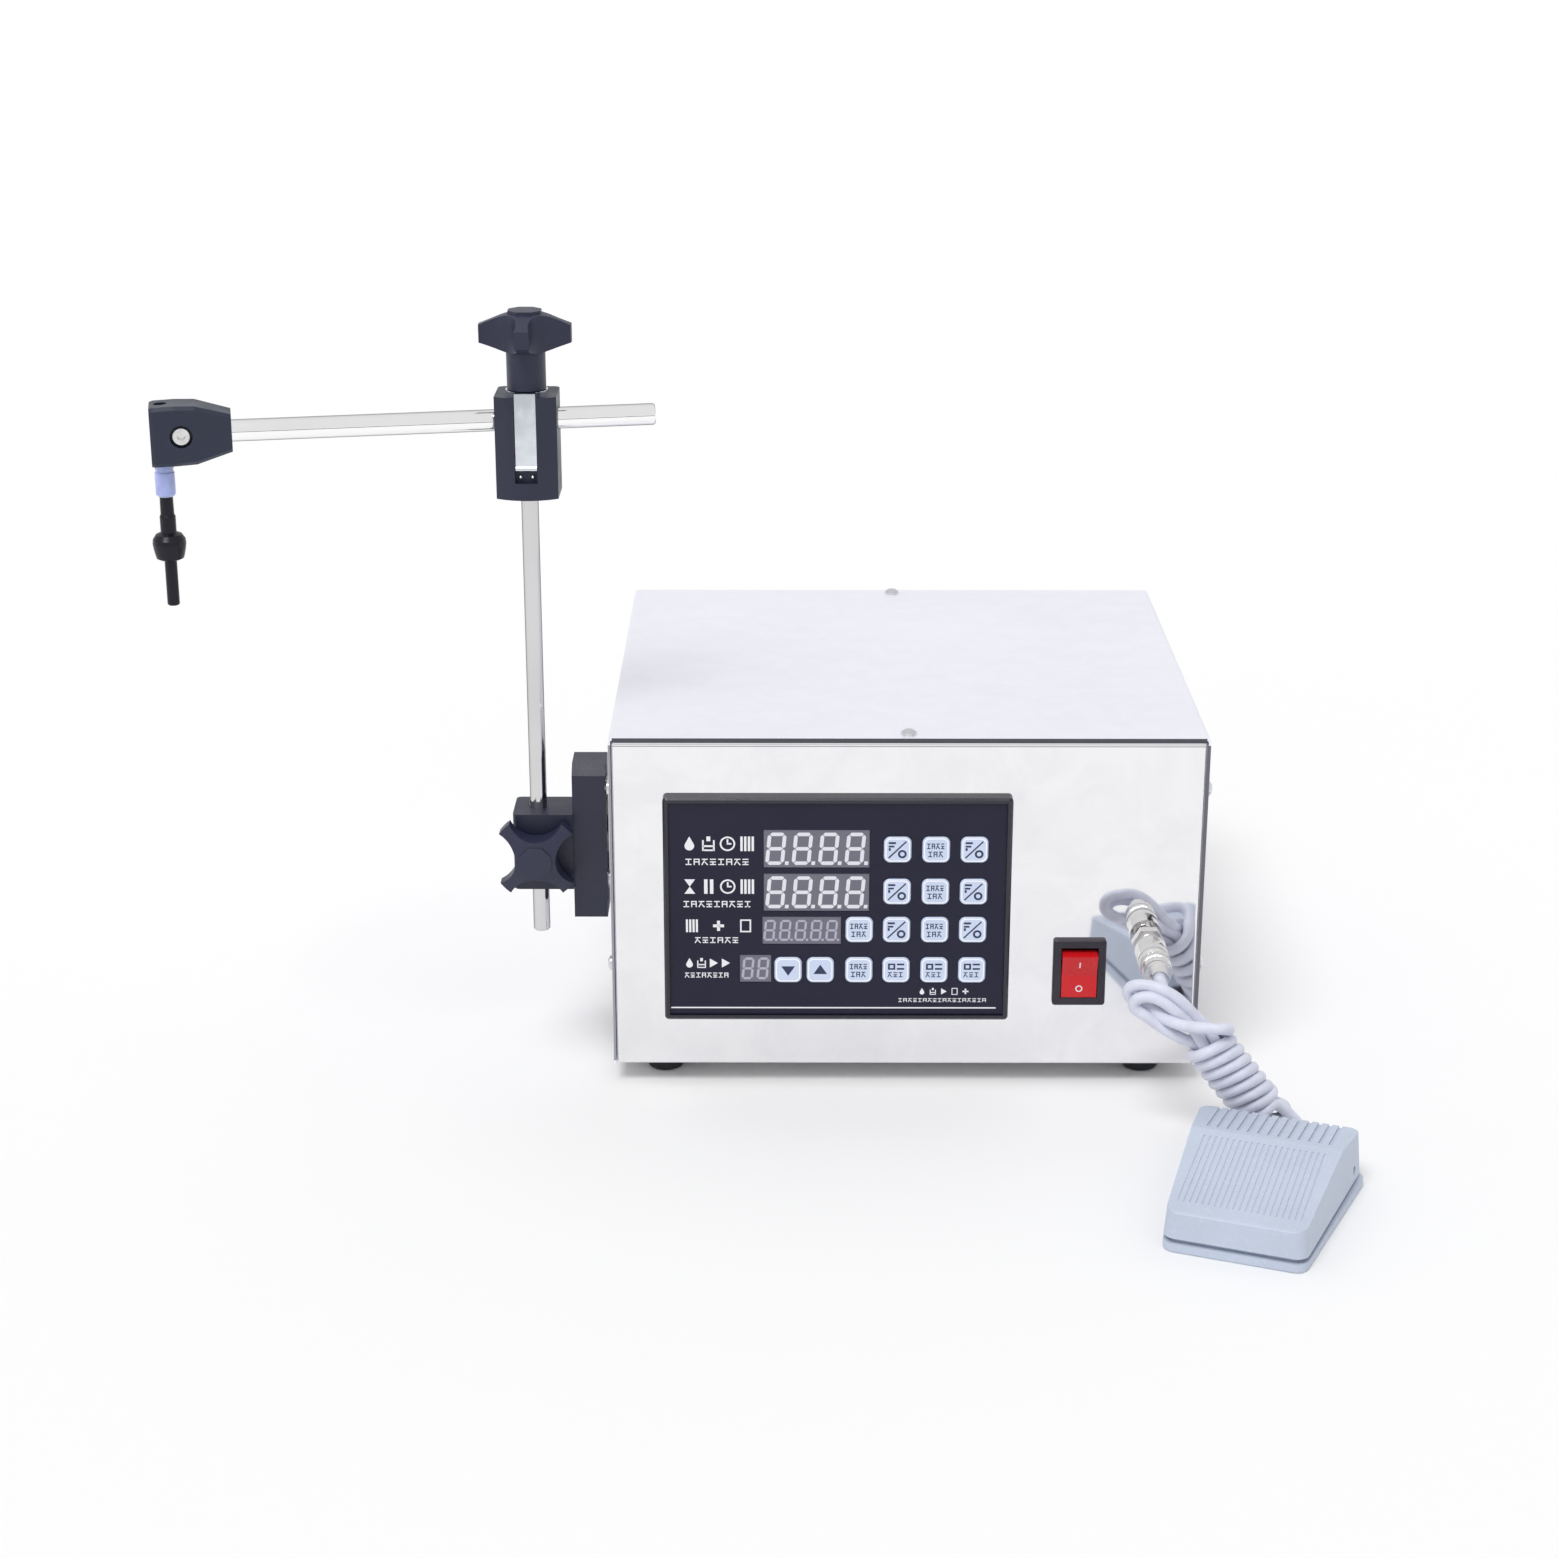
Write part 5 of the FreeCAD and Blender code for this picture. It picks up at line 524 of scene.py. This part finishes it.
cord_route = [at(*point) for point in hank_points()]
cord = nurbs_curve("wound_cord", cord_route, CORD_D * MM, CORD_VINYL)
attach(cord, "machine")
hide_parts("cord_hank", "pedal_cord")
print("cord length", round(line_length(cord), 4))


# Printed signs, digits and key marks, in millimetres of the machine frame
PRINT_LIFT = 0.04
DOT_SHIFT = 0.5
AHEAD_Y = -200.0
CIRCLE_POINTS = 24
CORNER_STEPS = 6
# Sideways lean of a digit per height, and gap between its bars per thickness
DIGIT_LEAN = 0.09
BAR_GAP = 0.12
# Line width of a sign per half of its size
SIGN_LINE = 0.22
# Width of a small character per pitch, and its line width per height
LETTER_WIDTH = 0.74
LETTER_LINE = 0.17


def plain(name, color, rough):
    """Printed ink or lacquer with a faint uneven gloss."""
    g = Graph(name, color, rough)
    g.roughen(g.band(g.noise(90.0), 0.3, 0.7, rough - 0.05, rough + 0.08))
    return g.mat


INK_WHITE = plain("ink_white", (0.82, 0.83, 0.86), 0.45)
INK_DIGIT = plain("ink_digit", (0.74, 0.74, 0.80), 0.45)
INK_PALE = plain("ink_pale", (0.42, 0.42, 0.52), 0.45)
INK_DARK = plain("ink_dark", (0.022, 0.030, 0.085), 0.45)
# Painted shade and painted dark reflection for the cover's sheared front edge and the gap below it
GAP_SHADE_DARK = polished("painted_gap_shade", (0.10, 0.10, 0.12), 0.3)
# Greys of painted shade for the joint lines beside the cover's edges
JOINT_SHADE_GREY = plain("painted_joint_grey", (0.30, 0.30, 0.34), 0.5)
JOINT_SHADE_DARK = plain("painted_joint_dark", (0.13, 0.13, 0.15), 0.5)
# White of the painted highlight along each key's chamfer
KEY_RIM_HIGHLIGHT = plain("key_rim", (0.93, 0.95, 1.0), 0.35)


def mesh_piece(name, build, material):
    """New object from a finished bmesh, which is freed."""
    mesh = bpy.data.meshes.new(name)
    build.to_mesh(mesh)
    build.free()
    mesh.materials.append(material)
    piece = bpy.data.objects.new(name, mesh)
    bpy.context.collection.objects.link(piece)
    return piece


def middle_of(node_name):
    """Middle of a node in the panel's plane."""
    low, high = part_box(node_name)
    return ((low.x + high.x) / 2 - MIDDLE_X) / MM, (low.z + high.z) / 2 / MM


def front_of(node_name):
    """Finder of a node's front surface behind a place in the panel's plane."""
    node = nodes[node_name]
    corners = [node.matrix_world @ vertex.co for vertex in node.data.vertices]
    tree = BVHTree.FromPolygons(corners, [tuple(face.vertices) for face in node.data.polygons])

    def find(x, z):
        """Point of the surface straight behind the place."""
        return tree.ray_cast(at(x, AHEAD_Y, z), Vector((0, 1, 0)))[0]

    return find


def printed(name, outlines, node_name, material, body):
    """Thin print laid on the front of a node."""
    find = front_of(node_name)
    lift = Vector((0, PRINT_LIFT * MM, 0))
    build = bmesh.new()
    for outline in outlines:
        build.faces.new([build.verts.new(find(x, z) - lift) for x, z in outline])
    bmesh.ops.recalc_face_normals(build, faces=build.faces)
    for face in build.faces:
        if face.normal.y > 0:
            face.normal_flip()
    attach(mesh_piece(name, build, material), body)


def placed(parts, x, z, scale=1.0):
    """Outlines scaled round their origin and moved to a place."""
    return [[(x + across * scale, z + up * scale) for across, up in part] for part in parts]


def bar(x0, x1, z0, z1):
    """Upright rectangle."""
    return [(x0, z0), (x1, z0), (x1, z1), (x0, z1)]


def stroke(x0, z0, x1, z1, width):
    """Straight line of some width between two points."""
    length = math.hypot(x1 - x0, z1 - z0)
    side_x = (z0 - z1) / length * width / 2
    side_z = (x1 - x0) / length * width / 2
    return [(x0 - side_x, z0 - side_z), (x1 - side_x, z1 - side_z),
            (x1 + side_x, z1 + side_z), (x0 + side_x, z0 + side_z)]


def loop_band(outer, inner):
    """Quads between two outlines with as many points."""
    count = len(outer)
    return [[outer[k], outer[(k + 1) % count], inner[(k + 1) % count], inner[k]] for k in range(count)]


def circle(x, z, radius):
    """Points of a circle."""
    turns = [2 * math.pi * step / CIRCLE_POINTS for step in range(CIRCLE_POINTS)]
    return [(x + radius * math.cos(turn), z + radius * math.sin(turn)) for turn in turns]


def round_line(x, z, outer, inner):
    """Round line between two radii."""
    return loop_band(circle(x, z, outer), circle(x, z, inner))


def rounded(x, z, half, radius):
    """Square with round corners."""
    points = []
    for corner, (side_x, side_z) in enumerate(((1, 1), (-1, 1), (-1, -1), (1, -1))):
        for step in range(CORNER_STEPS + 1):
            turn = math.pi / 2 * (corner + step / CORNER_STEPS)
            points.append((x + side_x * (half - radius) + radius * math.cos(turn),
                           z + side_z * (half - radius) + radius * math.sin(turn)))
    return points


def segment(x0, z0, x1, z1, thickness):
    """Bar of a digit, pointed at both ends."""
    length = math.hypot(x1 - x0, z1 - z0)
    along_x = (x1 - x0) / length * thickness / 2
    along_z = (z1 - z0) / length * thickness / 2
    return [
        (x0, z0),
        (x0 + along_x - along_z, z0 + along_z + along_x),
        (x1 - along_x - along_z, z1 - along_z + along_x),
        (x1, z1),
        (x1 - along_x + along_z, z1 - along_z - along_x),
        (x0 + along_x + along_z, z0 + along_z - along_x),
    ]


def digit(x, z, width, height, thickness, dot):
    """All seven bars of a leaning digit round a centre, and its dot."""
    half_w = (width - thickness) / 2
    half_h = (height - thickness) / 2
    gap = thickness * BAR_GAP
    parts = []
    for level in (-half_h, 0.0, half_h):
        parts.append(segment(-half_w + gap, level, half_w - gap, level, thickness))
    for side in (-half_w, half_w):
        parts.append(segment(side, gap, side, half_h - gap, thickness))
        parts.append(segment(side, -half_h + gap, side, -gap, thickness))
    if dot:
        left = half_w + thickness * 0.75
        parts.append(bar(left, left + thickness, -height / 2, -height / 2 + thickness))
    return [[(x + across + up * DIGIT_LEAN, z + up) for across, up in part] for part in parts]


def digit_row(index, x, z, across, count, height, width, thickness, dot, ink):
    """Digits spread over one display, given by its centre and width."""
    pitch = across / count
    start = x - across / 2 - (DOT_SHIFT if dot else 0.0)
    parts = []
    for step in range(count):
        parts += digit(start + pitch * (step + 0.5), z, width, height, thickness, dot)
    printed("digits_%d" % index, parts, "led_displays", ink, "machine")


# Display centres and widths, digit count, digit height and width, bar thickness, dots and ink
DISPLAYS = (
    (-43.4, 123.6, 50.3, 4, 16.4, 9.0, 1.8, True, INK_DIGIT),
    (-43.4, 101.4, 50.3, 4, 16.4, 9.0, 1.8, True, INK_DIGIT),
    (-50.4, 81.8, 37.2, 5, 10.8, 5.4, 1.1, True, INK_PALE),
    (-72.6, 62.0, 14.4, 2, 11.4, 5.5, 1.2, False, INK_PALE),
)
for index, display in enumerate(DISPLAYS, 1):
    digit_row(index, *display)

# Small generic signs in a cell from -1 to 1
drop_turns = [math.radians(150 + 15 * step) for step in range(17)]
drop = [(0.62 * math.cos(turn), 0.62 * math.sin(turn) - 0.3) for turn in drop_turns] + [(0, 1)]
SIGNS = {
    "drop": [drop],
    "clock": round_line(0, 0, 1, 1 - SIGN_LINE) + [
        stroke(0, 0, 0, 0.62, SIGN_LINE), stroke(-SIGN_LINE / 2, 0, 0.5, 0, SIGN_LINE)],
    "glass": [[(-0.7, 1), (0, 0), (0.7, 1)], [(-0.7, -1), (0.7, -1), (0, 0)]],
    "tally": [bar(left, left + 1.4 * SIGN_LINE, -1, 1) for left in (-0.8, -0.32, 0.16, 0.64)],
    "vessel": [
        stroke(-0.7, 0.5, -0.7, -1, SIGN_LINE), stroke(0.7, 0.5, 0.7, -1, SIGN_LINE),
        bar(-0.7, 0.7, -1, -1 + SIGN_LINE), bar(-0.7, 0.7, -0.45, -0.2), bar(-0.25, 0.25, 0.35, 1)],
    "pause": [bar(-0.6, -0.15, -1, 1), bar(0.15, 0.6, -1, 1)],
    "plus": [bar(-0.8, 0.8, -SIGN_LINE, SIGN_LINE), bar(-SIGN_LINE, SIGN_LINE, -0.8, 0.8)],
    "box": loop_band(
        bar(-0.8, 0.8, -1, 1), bar(-0.8 + SIGN_LINE, 0.8 - SIGN_LINE, -1 + SIGN_LINE, 1 - SIGN_LINE)),
    "arrow": [[(-0.7, -0.9), (0.8, 0), (-0.7, 0.9)]],
}


def sign_row(kinds, x0, x1, z, size):
    """Signs spread from one edge to the other."""
    step = (x1 - x0 - size) / (len(kinds) - 1)
    parts = []
    for number, kind in enumerate(kinds):
        parts += placed(SIGNS[kind], x0 + size / 2 + step * number, z, size / 2)
    return parts


def script(x0, x1, z, height, count):
    """Row of generic small characters, each of a few strokes."""
    pitch = (x1 - x0) / count
    width = pitch * LETTER_WIDTH
    line = height * LETTER_LINE
    low, high = z - height / 2, z + height / 2
    parts = []
    for number in range(count):
        left = x0 + pitch * number
        right = left + width
        middle = (left + right) / 2
        kind = (number * 5 + int(height * 10)) % 4
        parts.append(bar(left, right, high - line, high))
        if kind == 0:
            parts.append(bar(middle - line / 2, middle + line / 2, low, high - line))
            parts.append(bar(left, right, low, low + line))
        elif kind == 1:
            parts.append(bar(left, left + line, low, high - line))
            parts.append(bar(right - line, right, low, high - line))
            parts.append(bar(left + line, right - line, z - line / 2, z + line / 2))
        elif kind == 2:
            parts.append(stroke(middle, high - line, left, low, line))
            parts.append(stroke(middle, z, right, low, line))
        else:
            parts.append(bar(left, right, z - line / 2, z + line / 2))
            parts.append(bar(left, right, low, low + line))
            parts.append(bar(middle - line / 2, middle + line / 2, low + line, z - line / 2))
    return parts


# Panel signs: kinds, left and right edge, height of their middle and size
SIGN_ROWS = (
    (("drop", "vessel", "clock", "tally"), -107.6, -73.0, 126.2, 7.4),
    (("glass", "pause", "clock", "tally"), -107.6, -73.0, 104.4, 7.4),
    (("tally", "plus", "box"), -106.6, -74.0, 84.2, 6.6),
    (("drop", "vessel", "arrow", "arrow"), -107.0, -84.4, 64.9, 5.2),
    (("drop", "vessel", "arrow", "box", "plus"), 6.0, 30.6, 50.2, 3.6),
)
# Panel characters: left and right edge, height of their middle, character height and count
SCRIPT_ROWS = (
    (-105.8, -74.8, 117.0, 3.2, 8),
    (-107.0, -74.0, 95.4, 3.2, 9),
    (-101.6, -80.0, 76.8, 3.0, 6),
    (-106.6, -85.0, 58.6, 2.6, 8),
    (-3.6, 39.4, 45.6, 2.0, 18),
)
FOOT_LINE = bar(-113.6, 43.6, 41.2, 41.9)
panel_print = [FOOT_LINE]
for row in SIGN_ROWS:
    panel_print += sign_row(*row)
for row in SCRIPT_ROWS:
    panel_print += script(*row)
printed("panel_print", panel_print, "panel_overlay", INK_WHITE, "machine")

# Dark marks of the keys, round the middle of a key
KEY_MARKS = {
    "down": [[(-3.3, 2.0), (3.3, 2.0), (0, -2.9)]],
    "up": [[(-3.3, -2.0), (0, 2.9), (3.3, -2.0)]],
    "split": round_line(2.2, -2.1, 2.1, 1.1) + [
        bar(-4.3, -0.9, 3.0, 4.0), bar(-4.3, -1.6, 1.3, 2.2), bar(-4.3, -3.3, -0.4, 1.0),
        stroke(-4.3, -4.1, 4.1, 4.3, 0.7)],
    "pair": loop_band(bar(-3.9, -0.4, 0.3, 3.5), bar(-3.0, -1.3, 1.1, 2.7)) + [
        bar(0.4, 3.9, 2.6, 3.5), bar(0.4, 3.9, 0.3, 1.2)] + script(-3.9, 3.9, -2.3, 2.6, 3),
    "bars": script(-4.4, 4.4, 1.9, 2.8, 4) + script(-3.8, 3.8, -2.2, 2.8, 3),
}
KEY_KINDS = ("split", "bars", "split", "split", "bars", "split", "bars", "split", "bars", "split",
             "down", "up", "bars", "pair", "pair", "pair")
# Half width and corner radius of a key's rim of painted highlight, outside and inside
RIM_OUTER = (5.9, 2.6)
RIM_INNER = (5.3, 2.1)
for number, kind in enumerate(KEY_KINDS, 1):
    key = "key_%02d" % number
    body = "key_body_%02d" % number
    x, z = middle_of(key)
    # Ring of painted highlight round the key, then its printed marks
    rim = loop_band(rounded(x, z, *RIM_OUTER), rounded(x, z, *RIM_INNER))
    printed("key_rim_%02d" % number, rim, key, KEY_RIM_HIGHLIGHT, body)
    printed("key_marks_%02d" % number, placed(KEY_MARKS[kind], x, z), key, INK_DARK, body)

# Rocker signs: a ring below and a short bar above
ROCKER_SIGNS = round_line(0, -7.2, 1.7, 1.15) + [bar(-0.3, 0.3, 4.2, 7.4)]
rocker_print = placed(ROCKER_SIGNS, *middle_of("switch_rocker"))
printed("rocker_signs", rocker_print, "switch_rocker", INK_WHITE, "rocker")


def block(name, low, high, material):
    """Closed box on the machine, from its low and its high corner."""
    build = bmesh.new()
    for vertex in bmesh.ops.create_cube(build, size=1.0)["verts"]:
        share = vertex.co + Vector((0.5, 0.5, 0.5))
        vertex.co = at(*[low[k] + (high[k] - low[k]) * share[k] for k in range(3)])
    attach(mesh_piece(name, build, material), "machine")


# Sheared edges of the cover round the front, and the joint lines beside them, drawn as dark strips of
# painted shade and painted dark reflection
LINE_PROUD = 0.06
JOINT_FOOT = 12.0
cover_low, cover_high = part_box("top_cover")
half = (cover_high.x - cover_low.x) / 2 / MM
crest = cover_high.z / MM
front = (cover_low.y - FRONT_Y) / MM
proud = front - LINE_PROUD
# Dark strip of painted shade in the gap under the cover's front edge, with the edge's painted dark
# reflection
block("cover_edge_shade", (-half + 2.0, proud, crest - 2.2), (half - 2.0, front, crest - 0.15), GAP_SHADE_DARK)
# Painted shade lines in the side joints, the left one lighter grey and the right one darker, and one under
# the front's top bend
block("left_joint_shade", (-half + 0.1, proud, JOINT_FOOT), (-half + 1.2, front, crest - 3.6), JOINT_SHADE_GREY)
block("right_joint_shade", (half - 1.8, proud, JOINT_FOOT), (half - 0.1, front, crest - 3.6), JOINT_SHADE_DARK)
block("top_joint_shade", (-half + 2.4, -LINE_PROUD, crest - 4.3), (half - 2.4, 0.0, crest - 3.9), JOINT_SHADE_GREY)


def turned(name, profile, steps, material, body, teeth=0, depth=0.0):
    """Surface of revolution forward along the socket's axis, with fine teeth if asked."""
    build = bmesh.new()
    rings = []
    for radius, distance in profile:
        ring = []
        for step in range(steps):
            turn = 2 * math.pi * step / steps
            reach = radius - depth * (0.5 - 0.5 * math.cos(turn * teeth))
            place = at(SOCKET_X + reach * math.cos(turn), -distance, SOCKET_Z + reach * math.sin(turn))
            ring.append(build.verts.new(place))
        rings.append(ring)
    for first, second in zip(rings, rings[1:]):
        for step in range(steps):
            after = (step + 1) % steps
            build.faces.new((first[step], first[after], second[after], second[step]))
    bmesh.ops.recalc_face_normals(build, faces=build.faces)
    for face in build.faces:
        face.smooth = True
    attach(mesh_piece(name, build, material), body)


# Thread of the socket between its nut and the ring
THREAD_PITCH = 0.8
THREAD_TURNS = 8
THREAD_START = 2.6
THREAD_ROOT = 4.86
THREAD_CREST = 5.12
thread = []
for turn in range(THREAD_TURNS):
    thread.append((THREAD_ROOT, THREAD_START + THREAD_PITCH * turn))
    thread.append((THREAD_CREST, THREAD_START + THREAD_PITCH * (turn + 0.5)))
thread.append((THREAD_ROOT, THREAD_START + THREAD_PITCH * THREAD_TURNS))
turned("socket_thread", thread, 48, MATERIALS["cord_socket"], "machine")

# Knurled band of the coupling ring
KNURL_START = 28.4
KNURL_END = 33.9
KNURL_CHAMFER = 0.3
KNURL_RADIUS = 7.3
KNURL_FOOT = 7.02
KNURL_TEETH = 60
KNURL_DEPTH = 0.22
knurl = [
    (KNURL_FOOT, KNURL_START),
    (KNURL_RADIUS, KNURL_START + KNURL_CHAMFER),
    (KNURL_RADIUS, KNURL_END - KNURL_CHAMFER),
    (KNURL_FOOT, KNURL_END),
]
turned("ring_knurl", knurl, 4 * KNURL_TEETH, MATERIALS["plug_ring"], "coupling_ring",
       KNURL_TEETH, KNURL_DEPTH)


# Floor, cards and light, in metres of the row frame
FLOOR_REACH = 20.0
STRIP_HEIGHT = 0.0003
CARD_FOOT = 0.2
CARD_TOP = 2.2
STAGE_COLOR = (0.895, 0.895, 0.895)
CARD_DARK = plain("card_dark", (0.03, 0.03, 0.035), 0.9)


def stage_white():
    """Pale floor that keeps the object's shadow."""
    return Graph("stage_white", STAGE_COLOR, 0.9, specular=0.1).mat


def floor_card():
    """Floor that is pale to the camera and grey to the polished metal, which it darkens."""
    g = Graph("floor_card", STAGE_COLOR, 0.9, specular=0.1)
    seen = g.add("ShaderNodeLightPath").outputs["Is Camera Ray"]
    g.paint(g.mix(seen, (0.08, 0.08, 0.085), STAGE_COLOR))
    return g.mat


def stage_sheet(name, corners, material):
    """Flat sheet of four corners that isn't part of the object."""
    build = bmesh.new()
    build.faces.new([build.verts.new(corner) for corner in corners])
    mesh_piece(name, build, material)


def level_sheet(name, half_width, near, far, height, material):
    """Level sheet of the stage between a near and a far edge."""
    stage_sheet(name, [(-half_width, near, height), (half_width, near, height),
                       (half_width, far, height), (-half_width, far, height)], material)


def dark_card(name, x, near, far):
    """Upright dark card beside the machine, which the polished metal shows as dark edges."""
    stage_sheet(name, [(x, near, CARD_FOOT), (x, far, CARD_FOOT), (x, far, CARD_TOP), (x, near, CARD_TOP)],
                CARD_DARK)


level_sheet("floor", FLOOR_REACH, -FLOOR_REACH, FLOOR_REACH, 0.0, stage_white())
level_sheet("card_front", 2.0, -3.9, -1.75, STRIP_HEIGHT, floor_card())
dark_card("card_right", 3.0, -2.0, -0.6)
dark_card("card_left", -3.4, -1.8, -0.9)

world = bpy.data.worlds.new("world")
bpy.context.scene.world = world
world.use_nodes = True
world_nodes = world.node_tree.nodes
back = world_nodes["Background"]
back.inputs["Color"].default_value = (0.99, 0.99, 1.0, 1.0)
back.inputs["Strength"].default_value = 0.78
white_back = world_nodes.new("ShaderNodeBackground")
white_back.inputs["Color"].default_value = (0.96, 0.96, 0.955, 1.0)
white_back.inputs["Strength"].default_value = 1.0
rays = world_nodes.new("ShaderNodeLightPath")
choose = world_nodes.new("ShaderNodeMixShader")
world.node_tree.links.new(rays.outputs["Is Camera Ray"], choose.inputs[0])
world.node_tree.links.new(back.outputs[0], choose.inputs[1])
world.node_tree.links.new(white_back.outputs[0], choose.inputs[2])
world.node_tree.links.new(choose.outputs[0], world_nodes["World Output"].inputs["Surface"])

sun_data = bpy.data.lights.new("sun", "SUN")
sun_data.energy = 1.35
sun_data.angle = math.radians(24)
sun = bpy.data.objects.new("sun", sun_data)
sun.rotation_euler = (math.radians(28), math.radians(-16), 0)
bpy.context.collection.objects.link(sun)

bpy.context.scene.view_settings.view_transform = "Standard"
